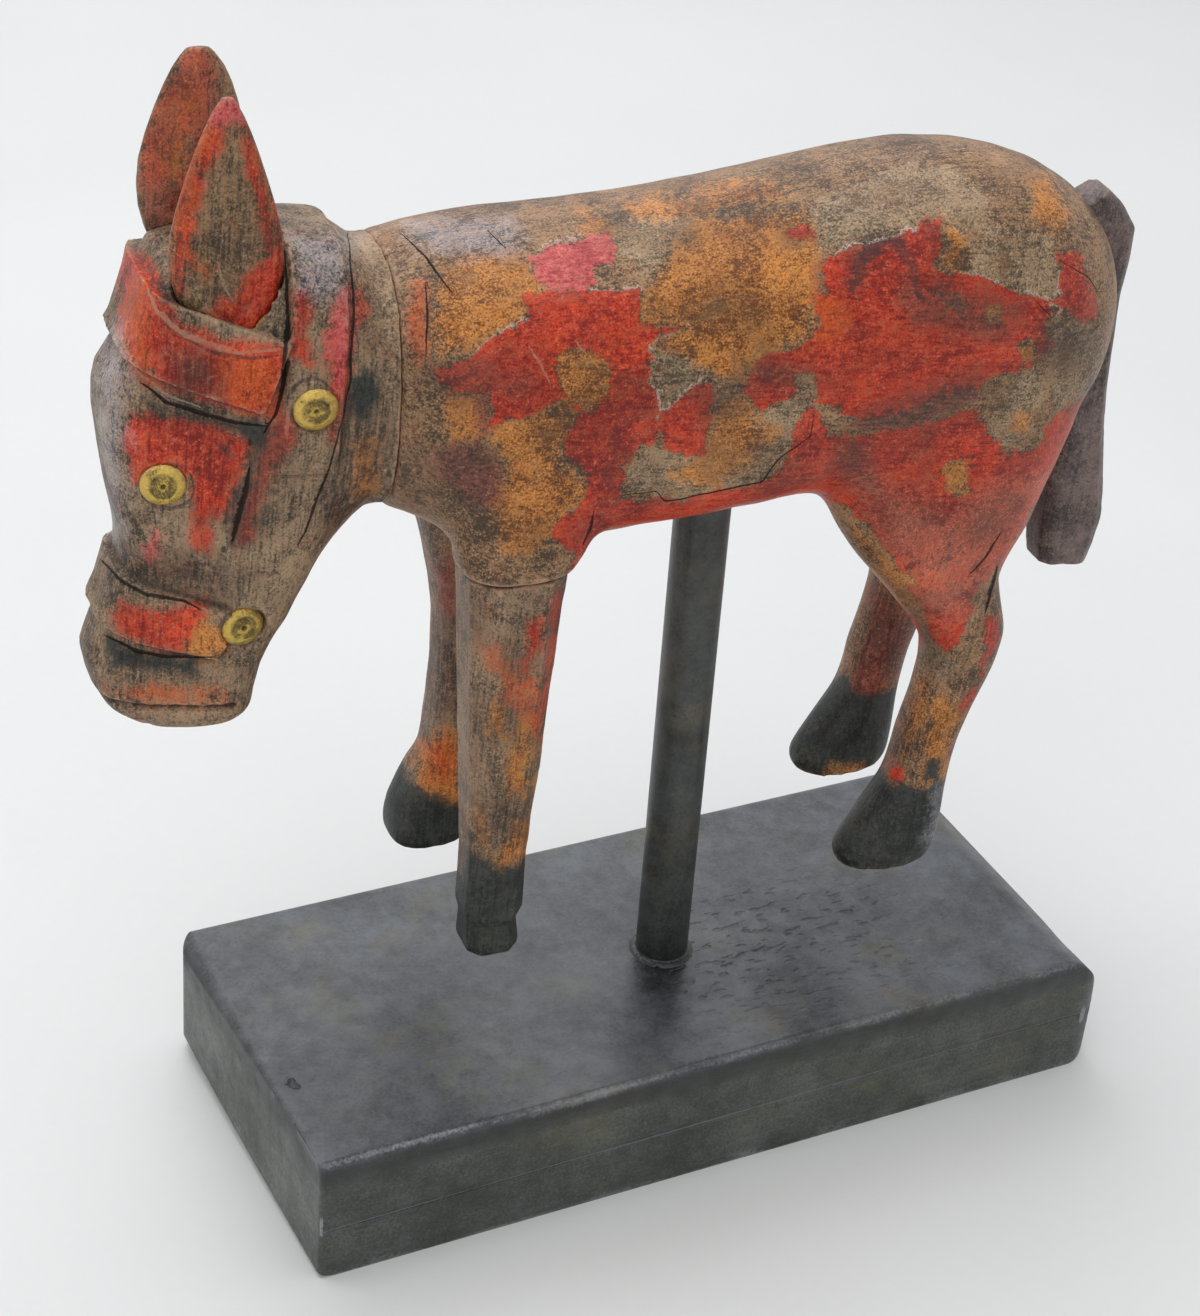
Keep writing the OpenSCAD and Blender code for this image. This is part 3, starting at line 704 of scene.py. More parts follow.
BODY_LINES: tuple[Line, ...] = (
    Line(Mark.CRACK_AND_SHADE, 0.3, HAUNCH, ((715, 1250), (680, 1310), (620, 1372))),
    Line(Mark.CRACK_AND_SHADE, 0.5, HAUNCH, ((702, 1350), (690, 1400), (668, 1485))),
    Line(Mark.CRACK_AND_SHADE, 0.25, SHOULDER, ((150, 400), (155, 520), (150, 640))),
    Line(Mark.CRACK_AND_SHADE, 0.35, SHOULDER, ((700, 1150), (690, 1200), (660, 1260))),
    Line(
        Mark.CRACK_AND_SHADE, 0.2, SHOULDER,
        ((800, 1095), (900, 1080), (930, 1115), (1080, 1090), (1250, 1050), (1300, 980), (1410, 900),
         (1420, 830)),
    ),
    Line(Mark.FLAKE, 0.55, SHOULDER, ((290, 625), (380, 572), (420, 535), (485, 517))),
    Line(Mark.FLAKE, 0.35, SHOULDER, ((880, 725), (918, 740), (922, 800), (905, 840))),
    Line(Mark.FLAKE, 0.5, SHOULDER, ((915, 835), (960, 790), (1010, 735), (1080, 700))),
    Line(Mark.FLAKE, 0.5, SHOULDER, ((960, 270), (990, 240), (1025, 232))),
    Line(Mark.FLAKE, 0.7, SHOULDER, ((1205, 225), (1212, 190))),
    Line(Mark.FLAKE, 0.4, SHOULDER, ((480, 290), (600, 255), (640, 235))),
    Line(Mark.FLAKE, 0.3, SHOULDER, ((690, 435), (850, 418))),
    Line(Mark.FLAKE, 0.55, HAUNCH, ((225, 420), (310, 390), (390, 365), (460, 350))),
    Line(
        Mark.FLAKE, 0.5, HAUNCH,
        ((625, 470), (690, 495), (700, 515), (760, 525), (830, 545), (865, 570), (890, 540), (890, 480)),
    ),
    Line(Mark.FLAKE, 0.3, SHOULDER, ((870, 605), (930, 600), (1000, 600))),
    Line(
        Mark.STROKE, 2.2, HAUNCH,
        ((275, 530), (300, 450), (330, 405), (370, 385), (410, 400), (445, 460), (460, 540)),
    ),
    Line(Mark.FOLD, 1.6, SHOULDER, ((20, 230), (100, 290), (170, 340), (240, 420))),
    Line(Mark.FOLD, 1.3, SHOULDER, ((60, 215), (140, 275), (190, 330))),
    Line(Mark.CRACK_AND_SHADE, 0.28, BACK, ((100, 240), (200, 330), (240, 390), (310, 490))),
    Line(Mark.CRACK_AND_SHADE, 0.16, BACK, ((470, 220), (545, 300))),
    Line(Mark.SCRATCH_AND_HIGHLIGHT, 0.4, BACK, ((650, 730), (700, 800), (740, 880))),
    Line(Mark.SCRATCH_AND_HIGHLIGHT, 0.3, BACK, ((850, 700), (900, 760))),
    Line(Mark.STROKE, 1.6, CROUP, ((590, 430), (560, 520), (545, 610))),
    Line(Mark.STROKE, 1.2, CROUP, ((720, 460), (765, 540), (770, 620))),
    Line(Mark.CRACK_AND_SHADE, 0.14, CROUP, ((1280, 500), (1380, 560), (1420, 620))),
    Line(Mark.CRACK_AND_SHADE, 0.14, CROUP, ((1190, 640), (1260, 710))),
)
HEAD_PATCHES: tuple[Patch, ...] = (
    *areas(
        Coat.RED, FACE,
        ((290, 310), (420, 320), (560, 350), (690, 420), (640, 580), (600, 700), (530, 730),
         (520, 840), (480, 830), (470, 690), (470, 560), (300, 560), (250, 580), (200, 440), (230, 330)),
        ((430, 70), (540, 66), (815, 104), (800, 338), (640, 310), (500, 286), (380, 240), (420, 170)),
    ),
    *areas(
        Coat.RED, EARS,
        ((210, 1010), (320, 990), (345, 1060), (300, 1150), (320, 1450), (250, 1350), (205, 1150)),
        ((910, 1080), (990, 1060), (1010, 1150), (960, 1250), (990, 1380), (920, 1340), (930, 1200)),
    ),
    *areas(
        Coat.CRIMSON, EARS,
        ((1065, 1200), (1120, 1060), (1165, 1020), (1175, 1200), (1160, 1400), (1110, 1490),
         (1080, 1350)),
    ),
    *areas(
        Coat.RED, FACE,
        ((760, 370), (850, 330), (860, 440), (770, 540), (710, 680), (690, 800), (640, 812),
         (660, 700), (730, 520)),
        ((985, 0), (1072, 0), (1055, 240), (1040, 330), (1000, 420), (1000, 240)),
        ((190, 1030), (330, 1075), (440, 1060), (505, 1030), (505, 1090), (465, 1150), (425, 1232),
         (340, 1232), (200, 1175), (165, 1080)),
    ),
    *areas(
        Coat.ORANGE, FACE,
        ((188, 1388), (320, 1352), (430, 1380), (420, 1402), (220, 1410)),
        ((480, 1378), (590, 1386), (600, 1400), (490, 1410)),
    ),
    *areas(Coat.CRIMSON, FACE, ((280, 830), (335, 775), (332, 870), (290, 900))),
    *areas(Coat.ORANGE, FACE, ((520, 110), (700, 110), (790, 150), (770, 310), (620, 280), (540, 220))),
    *areas(
        Coat.OCHRE, FACE,
        ((1090, 420), (1170, 430), (1165, 600), (1100, 640)),
        ((470, 1100), (590, 1160), (600, 1230), (470, 1250), (440, 1230)),
    ),
    *areas(
        Coat.OLIVE, EARS,
        ((1160, 880), (1340, 900), (1370, 1300), (1330, 1380), (1270, 1100), (1180, 1000)),
    ),
    # The first area is painted shade under the noseband.
    *areas(
        Coat.BLACK, FACE,
        ((150, 1180), (330, 1245), (470, 1260), (480, 1330), (330, 1300), (160, 1290)),
        ((1080, 180), (1170, 150), (1190, 260), (1120, 330), (1060, 300)),
        ((570, 440), (605, 440), (608, 485), (572, 480)),
    ),
    *areas(
        Coat.ORANGE, PROFILE,
        ((160, 170), (235, 130), (252, 250), (232, 350), (245, 450), (190, 400), (165, 300)),
    ),
    # The second area is painted shadow under the brow strap.
    *areas(
        Coat.BLACK, PROFILE,
        ((275, 165), (322, 165), (322, 228), (288, 228)),
        ((240, 530), (420, 570), (600, 600), (590, 660), (500, 620), (380, 590), (250, 560)),
    ),
    # Pale areas on the forehead's front edge, a painted sheen, and on the crown.
    *areas(
        Coat.BLOOM, PROFILE,
        ((80, 330), (130, 280), (165, 420), (150, 700), (172, 1000), (120, 960), (98, 700)),
        ((690, 20), (850, 20), (850, 180), (760, 220), (700, 200)),
    ),
    # Darker areas on the head: smudges, and painted shade in the hollow along the cheek crack.
    *areas(
        Coat.SMOKE, PROFILE,
        ((600, 620), (700, 600), (690, 800), (560, 960), (500, 980), (560, 800)),
        ((200, 1000), (420, 1000), (560, 1060), (500, 1130), (380, 1120), (230, 1090)),
    ),
    *areas(
        Coat.RED, PROFILE,
        ((157, 66), (244, 79), (344, 279), (469, 341), (649, 366), (644, 578), (469, 541), (269, 478),
         (182, 304), (144, 154)),
    ),
    # Darker areas on the brow strap and the lower neck, partly painted shade where they turn from the
    # light.
    *areas(
        Coat.SMOKE, PROFILE,
        ((294, 353), (444, 378), (469, 528), (319, 478)),
        ((843, 528), (993, 553), (1006, 828), (894, 878), (793, 953), (744, 853), (819, 703)),
    ),
    *areas(Coat.RED, EARS, ((1166, 1090), (1200, 1060), (1235, 1130), (1220, 1210), (1166, 1240))),
    *areas(Coat.DUST, PROFILE, ((885, 40), (980, 70), (1010, 300), (970, 400), (900, 360), (880, 200))),
)
HEAD_LINES: tuple[Line, ...] = (
    # Wide dark line beside the cheek crack: painted shade of its hollow.
    Line(Mark.STROKE, 3, PROFILE, ((600, 610), (575, 690), (540, 800), (505, 900), (495, 970))),
    Line(Mark.CRACK_AND_SHADE, 0.7, PROFILE, ((548, 735), (540, 800), (512, 890), (498, 955))),
    Line(
        Mark.CRACK_AND_SHADE, 0.5, PROFILE,
        ((660, 60), (668, 180), (672, 300), (660, 370), (655, 470), (632, 570), (600, 625)),
    ),
    # Dark line under the brow strap: painted shadow.
    Line(Mark.CRACK_AND_SHADE, 0.5, PROFILE, ((225, 475), (300, 530), (400, 560), (500, 590), (605, 605))),
    Line(Mark.CRACK_AND_SHADE, 0.3, PROFILE, ((855, 10), (870, 200), (865, 420), (845, 560))),
    Line(Mark.CRACK_AND_SHADE, 0.3, PROFILE, ((845, 560), (800, 720), (760, 830), (720, 930), (700, 970))),
    # Dark lines at the noseband's upper and lower edges: painted shade.
    Line(Mark.CRACK_AND_SHADE, 0.45, PROFILE, ((100, 1015), (150, 1072), (230, 1122), (350, 1138), (400, 1168))),
    Line(Mark.CRACK_AND_SHADE, 0.4, PROFILE, ((110, 1245), (200, 1292), (300, 1315), (440, 1312))),
    # Pale line on the brow strap's top ledge: worn wood and painted highlight.
    Line(
        Mark.SCRATCH_AND_HIGHLIGHT, 0.9, PROFILE,
        ((240, 180), (270, 250), (330, 310), (420, 352), (520, 378), (630, 368)),
    ),
    Line(Mark.SCRATCH_AND_HIGHLIGHT, 0.4, PROFILE, ((150, 330), (210, 440), (290, 505), (400, 542))),
    # Dark rings round the tacks: painted shade round their seats.
    Line(Mark.STROKE, 0.7, PROFILE, ring(303, 790, 82, 68)),
    Line(Mark.STROKE, 0.7, PROFILE, ring(745, 535, 74, 80)),
    Line(Mark.STROKE, 0.7, PROFILE, ring(537, 1220, 70, 52)),
    Line(Mark.STROKE, 0.5, PROFILE, ((300, 300), (420, 375), (560, 395), (640, 385))),
    Line(Mark.STROKE, 1, PROFILE, ((990, 60), (1040, 400), (1030, 640), (1000, 780), (930, 860))),
)
LEFT_EAR_PATCHES: tuple[Patch, ...] = (
    *areas(
        Coat.CRIMSON, EARS,
        ((650, 262), (705, 300), (725, 360), (680, 395), (600, 392), (575, 375), (610, 310)),
    ),
    *areas(
        Coat.ORANGE, EARS,
        ((580, 375), (530, 480), (470, 600), (430, 720), (412, 840), (445, 900), (475, 760),
         (515, 700), (485, 640), (545, 520)),
        ((470, 900), (580, 985), (570, 1020), (500, 985)),
    ),
    *areas(
        Coat.RED, EARS,
        ((840, 700), (875, 800), (890, 1000), (880, 1270), (700, 1300), (590, 1200), (620, 1090),
         (680, 1112), (720, 1020), (800, 960), (835, 880)),
        ((629, 327), (579, 411), (512, 562), (455, 763), (428, 964), (438, 1115), (468, 1065),
         (488, 931), (512, 763), (562, 596), (629, 462)),
        ((723, 394), (780, 562), (837, 763), (870, 964), (863, 1232), (813, 1232), (817, 964),
         (780, 763), (736, 562)),
    ),
)
LEFT_EAR_LINES: tuple[Line, ...] = (
    Line(Mark.SCRATCH_AND_HIGHLIGHT, 0.4, PROFILE, ((455, 100), (470, 160), (500, 215))),
)
RIGHT_EAR_PATCHES: tuple[Patch, ...] = (
    *areas(Coat.OLIVE, EARS, ((300, 640), (450, 640), (430, 850), (310, 850))),
    *areas(
        Coat.RED, EARS,
        ((535, 70), (590, 130), (605, 230), (585, 400), (560, 560), (500, 700), (430, 820), (330, 840),
         (300, 650), (300, 450), (350, 330), (420, 180), (480, 90)),
    ),
    *areas(
        Coat.ORANGE, EARS,
        ((400, 250), (520, 150), (560, 260), (500, 430), (400, 560), (340, 560), (350, 400)),
    ),
    *areas(
        Coat.SMOKE, EARS,
        ((560, 120), (610, 220), (600, 400), (560, 560), (520, 560), (560, 380), (575, 230)),
        ((300, 640), (430, 640), (430, 850), (310, 850)),
    ),
    *areas(
        Coat.DUST, EARS,
        ((480, 90), (590, 130), (640, 260), (600, 400), (560, 560), (500, 700), (430, 850), (310, 850),
         (300, 500), (350, 330), (420, 180)),
    ),
    *bared(Coat.OCHRE, EARS, ((430, 440), (500, 430), (480, 560), (420, 640), (390, 580))),
)
LEFT_FORELEG_PATCHES: tuple[Patch, ...] = (
    *areas(
        Coat.RED, FORELEG,
        ((525, 330), (600, 310), (620, 380), (600, 470), (545, 500), (520, 640), (505, 620), (515, 480)),
        ((680, 170), (722, 150), (715, 300), (680, 560), (640, 760), (590, 950), (568, 960),
         (600, 760), (650, 520), (640, 300)),
    ),
    *areas(
        Coat.ORANGE, FORELEG,
        ((330, 500), (360, 470), (380, 540), (430, 590), (500, 640), (600, 650), (580, 800),
         (560, 890), (520, 870), (480, 830), (440, 790), (380, 760), (400, 680), (380, 600), (330, 580)),
    ),
    *areas(
        Coat.OCHRE, FORELEG,
        ((480, 860), (560, 900), (560, 1000), (545, 1100), (525, 1280), (410, 1270), (420, 1080),
         (450, 1020)),
        ((330, 780), (380, 800), (420, 860), (400, 950), (330, 960), (310, 850)),
    ),
    *areas(
        Coat.OCHRE, FORE_HOOF,
        ((400, 0), (450, 60), (490, 260), (470, 340), (420, 200)),
        ((700, 150), (800, 20), (940, 0), (930, 200), (900, 420), (700, 480), (620, 540), (560, 430),
         (640, 240)),
    ),
    *areas(
        Coat.SMOKE, FORELEG,
        ((180, 190), (250, 200), (280, 330), (270, 420), (200, 400)),
        ((420, 470), (510, 470), (505, 620), (450, 610)),
        ((370, 770), (430, 790), (470, 900), (450, 940), (400, 850)),
        ((240, 720), (290, 720), (300, 1000), (260, 1100), (245, 900)),
        ((240, 1280), (520, 1280), (510, 1400), (440, 1480), (380, 1540), (310, 1500), (270, 1420)),
    ),
    *areas(
        Coat.BLACK, FORE_HOOF,
        ((225, 320), (300, 250), (380, 330), (480, 400), (560, 450), (625, 545), (700, 490),
         (800, 460), (925, 400), (925, 1000), (860, 1400), (200, 1400), (160, 950)),
    ),
)
RIGHT_FORELEG_PATCHES: tuple[Patch, ...] = (
    *areas(Coat.MAROON, FORELEG, ((20, 20), (130, 20), (135, 300), (60, 310), (40, 150))),
    *areas(Coat.SMOKE, FORELEG, ((-60, 320), (130, 320), (180, 560), (180, 830), (-60, 850))),
    *areas(
        Coat.OCHRE, FORELEG,
        ((-80, 950), (150, 940), (190, 1000), (180, 1250), (165, 1400), (60, 1330), (-60, 1290)),
    ),
    *areas(Coat.ORANGE, FORELEG, ((-40, 980), (80, 970), (150, 1080), (100, 1200), (0, 1180))),
)


# Shader tools


class Value:
    """A socket of a node tree that takes part in Python expressions."""

    def __init__(self, shader: "Shader", socket: bpy.types.NodeSocket) -> None:
        """Keep the socket and the shader that it belongs to."""
        self.shader = shader
        self.socket = socket

    def maths(self, operation: str, first: "Input", second: "Input" = 0.0) -> "Value":
        """Add one Math node.

        Args:
            operation: The Math node's operation.
            first: Its first input.
            second: Its second input.

        Returns:
            The result.
        """
        return self.shader.node("Math", {"operation": operation}, {0: first, 1: second})

    def __add__(self, other: "Input") -> "Value":
        """Sum."""
        return self.maths("ADD", self, other)

    __radd__ = __add__

    def __sub__(self, other: "Input") -> "Value":
        """Difference."""
        return self.maths("SUBTRACT", self, other)

    def __rsub__(self, other: "Input") -> "Value":
        """Difference from a number."""
        return self.maths("SUBTRACT", other, self)

    def __mul__(self, other: "Input") -> "Value":
        """Product."""
        return self.maths("MULTIPLY", self, other)

    __rmul__ = __mul__

    def __neg__(self) -> "Value":
        """Opposite."""
        return self * -1.0

    def __abs__(self) -> "Value":
        """Absolute value."""
        return self.maths("ABSOLUTE", self)

    def larger(self, other: "Input") -> "Value":
        """Larger of two values."""
        return self.maths("MAXIMUM", self, other)

    def rise(self, low: float, high: float) -> "Value":
        """Ease from 0 at low to 1 at high.

        Args:
            low: Where the rise starts.
            high: Where it ends.

        Returns:
            A value from 0 to 1.
        """
        return self.shader.node(
            "MapRange", {"interpolation_type": "SMOOTHSTEP"},
            {"Value": self, "From Min": low, "From Max": high},
        )

    def kept(self, low: float = 0.0, high: float = 1.0) -> "Value":
        """Value kept between two limits."""
        return self.shader.node("Clamp", None, {"Value": self, "Min": low, "Max": high})


Input = Union[Value, float, tuple]


class Shader:
    """Node tree of one material or of the world."""

    def __init__(self, owner: bpy.types.Material | bpy.types.World) -> None:
        """Start with an empty tree.

        Args:
            owner: Material or world that the tree belongs to.
        """
        owner.use_nodes = True
        self.owner = owner
        self.tree = owner.node_tree
        self.tree.nodes.clear()

    def node(
        self,
        kind: str,
        settings: dict[str, Any] | None = None,
        sockets: dict[int | str, Input] | None = None,
        out: int | str = 0,
    ) -> Value:
        """Add any node.

        Args:
            kind: Node type without the ShaderNode prefix.
            settings: Properties, set before the sockets.
            sockets: Values or links by socket name or number.
            out: Output that is wanted.

        Returns:
            That output, or the first input of a node that has no outputs.
        """
        made = self.tree.nodes.new("ShaderNode" + kind)
        for key, setting in (settings or {}).items():
            setattr(made, key, setting)
        for key, given in (sockets or {}).items():
            socket = made.inputs[key]
            if isinstance(given, Value):
                self.tree.links.new(given.socket, socket)
            elif socket.type == "RGBA":
                socket.default_value = (*given, 1.0)
            else:
                socket.default_value = given
        return Value(self, made.outputs[out] if made.outputs else made.inputs[0])

    def place(self, lump: Point3 = (1.0, 1.0, 1.0), tilt: float = 0.0) -> Value:
        """Object coordinates, counted in lumps.

        Args:
            lump: Size of one lump along each axis, in millimetres.
            tilt: Slope of the lumps towards the tail, in radians.

        Returns:
            The coordinates.
        """
        sockets = {
            "Vector": self.node("TexCoord", out="Object"),
            "Rotation": (0.0, tilt, 0.0),
            "Scale": tuple(MM * size for size in lump),
        }
        return self.node("Mapping", {"vector_type": "TEXTURE"}, sockets)

    def noise(self, place: Value, scale: float = 1.0, detail: float = 3.0, rough: float = 0.55) -> Value:
        """Noise about zero.

        Args:
            place: Coordinates.
            scale: Lumps per unit of the coordinates.
            detail: Octaves.
            rough: Strength of the finer octaves.

        Returns:
            Values of about -0.3 to 0.3.
        """
        sockets = {"Vector": place, "Scale": scale, "Detail": detail, "Roughness": rough}
        return self.node("TexNoise", None, sockets) - 0.5

    def field(self, name: str) -> Value:
        """Number that is stored on the mesh."""
        return self.node("Attribute", {"attribute_name": name}, out="Fac")

    def mix(self, share: Input, first: Input, second: Input, blend: str = "MIX") -> Value:
        """Blend two colours.

        Args:
            share: Share of the second colour.
            first: First colour.
            second: Second colour.
            blend: Way in which they are blended.

        Returns:
            The blend.
        """
        settings = {"data_type": "RGBA", "blend_type": blend}
        return self.node("Mix", settings, {0: share, 6: first, 7: second}, 2)

    def surface(self, sockets: dict[str, Input], height: Value) -> bpy.types.Material:
        """Close the material with one principled shader.

        Args:
            sockets: Values or links of the shader's sockets.
            height: Relief in millimetres.

        Returns:
            The finished material.
        """
        normal = self.node("Bump", None, {"Strength": 1.0, "Distance": MM, "Height": height})
        shaded = self.node("BsdfPrincipled", None, {**sockets, "Normal": normal})
        self.node("OutputMaterial", None, {"Surface": shaded})
        return self.owner


# Finishes


@dataclass(frozen=True)
class CoatTone:
    """Look of one coat of paint.

    ragged is how far its outline wanders, soft the half width of its border in
    millimetres, thin the share that is worn away in places, opacity the most
    that it covers, thickness its height in millimetres, rust the share of the
    rust tint in it, drift the hue that it turns to in wide soft areas.
    """

    dark: Colour
    light: Colour
    rough: float
    ragged: float
    soft: float
    thin: float
    opacity: float = 1.0
    thickness: float = 0.0
    rust: float = 0.0
    drift: Colour | None = None
    gritty: bool = False
    chips: bool = False


COAT_TONES: dict[Coat, CoatTone] = {
    Coat.OLIVE: CoatTone(
        paint(80, 66, 47), paint(198, 168, 132), rough=0.55, ragged=1.0, soft=0.9, thin=0.4,
        rust=0.3, drift=paint(136, 92, 56), gritty=True,
    ),
    Coat.OCHRE: CoatTone(
        paint(104, 56, 20), paint(240, 154, 66), rough=0.45, ragged=1.3, soft=2.0, thin=0.45,
        rust=0.35, drift=paint(118, 92, 58), gritty=True,
    ),
    Coat.MAROON: CoatTone(
        paint(78, 34, 28), paint(156, 74, 60), rough=0.42, ragged=1.6, soft=2.6, thin=0.45
    ),
    Coat.RED: CoatTone(
        paint(118, 22, 10), paint(240, 66, 22), rough=0.4, ragged=0.9, soft=0.3, thin=0.35,
        thickness=0.12, rust=0.3, drift=paint(104, 50, 38), chips=True,
    ),
    Coat.ORANGE: CoatTone(
        paint(156, 52, 14), paint(226, 102, 32), rough=0.42, ragged=1.3, soft=2.2, thin=0.5,
        opacity=0.85, drift=paint(120, 58, 36),
    ),
    Coat.CRIMSON: CoatTone(
        paint(164, 50, 50), paint(232, 110, 106), rough=0.4, ragged=0.9, soft=0.3, thin=0.4,
        thickness=0.08, chips=True,
    ),
    Coat.SMOKE: CoatTone(
        paint(44, 33, 28), paint(100, 76, 62), rough=0.48, ragged=1.6, soft=3.0, thin=0.6,
        opacity=0.72,
    ),
    Coat.BLACK: CoatTone(
        paint(18, 21, 19), paint(64, 68, 62), rough=0.46, ragged=1.2, soft=0.8, thin=0.05,
        thickness=0.05,
    ),
    # Pale bluish tone of waxy bloom and painted sheen.
    Coat.BLOOM: CoatTone(
        paint(78, 74, 80), paint(212, 208, 218), rough=0.4, ragged=1.6, soft=3.0, thin=0.6,
        opacity=0.65,
    ),
    Coat.DUST: CoatTone(
        paint(120, 94, 74), paint(200, 166, 136), rough=0.5, ragged=1.6, soft=4.0, thin=0.5,
        opacity=0.45,
    ),
}
# Tones that all worn paint shares
GLAZE = (0.3, 0.25, 0.2)
# The dark tone below darkens pores and pits, and is also the painted shade in hollows.
SOOT_AND_SHADE = paint(34, 26, 21)
RUST = paint(150, 66, 32)
# Pale tone of dust flecks, also of painted glints.
PALE_DUST_AND_GLINT = paint(206, 186, 160)
# Dark tone of brush strokes, also of the painted shade rings round the tacks.
BRUSHED_AND_SHADE = paint(52, 40, 38)
# Pale tone of scratches, also of the painted highlight on the brow strap's ledge.
SCRATCH_AND_HIGHLIGHT_TONE = paint(184, 158, 132)
TORN_EDGE = paint(208, 192, 172)
# Near black of the cracks, also of the painted shade lines under the straps.
CRACK_AND_SHADE_TONE = paint(22, 17, 14)


@dataclass
class Texture:
    """Noises that the layers of one worn finish share."""

    shader: Shader
    grain: float
    wide: Value = field(init=False)
    lumps: Value = field(init=False)
    grit: Value = field(init=False)
    fine: Value = field(init=False)
    streak: Value = field(init=False)
    wear: Value = field(init=False)

    def __post_init__(self) -> None:
        """Add the nodes of the noises, from the widest to the finest."""
        p, noise = self.shader.place(), self.shader.noise
        self.wide, self.lumps = noise(p, 0.06, 4.0, 0.6), noise(p, 0.2, 5.0, 0.62)
        self.grit, self.fine = noise(p, 0.8, 4.0, 0.66), noise(p, 2.4, 3.0, 0.6)
        self.streak = self.streaks(12.0, 0.6) * self.grain
        self.wear = (self.lumps * 0.8 + self.grit + self.streak * 0.9).rise(-0.2, 0.5)

    def streaks(self, length: float, width: float) -> Value:
        """Noise along the grain, upright in some places and lengthwise in others.

        Args:
            length: Length of a streak in millimetres.
            width: Its width in millimetres.

        Returns:
            Values about zero.
        """
        s = self.shader
        lengthwise = s.noise(s.place((length, width, width), 0.12))
        standing = s.noise(s.place((width, width, length), 0.05))
        return lengthwise + s.field("upright") * (standing - lengthwise)

    def mark(self, mark: Mark, ragged: Value) -> Value:
        """Share of a thin mark.

        Args:
            mark: Which mark.
            ragged: Unevenness of its sides, in shares of its width.

        Returns:
            A value from 0 to 1.
        """
        line = 1 - abs(self.shader.field(mark.value) + ragged).rise(0.45, 1.1)
        return line * self.shader.field(mark.value + REACH)


@dataclass
class Look:
    """Colour, roughness and relief of a finish while its layers are laid.

    bare is the share that no black covers, border the edges of thick coats.
    """

    colour: Value
    height: Value
    rough: Input
    bare: Input = 1.0
    border: Input = 0.0


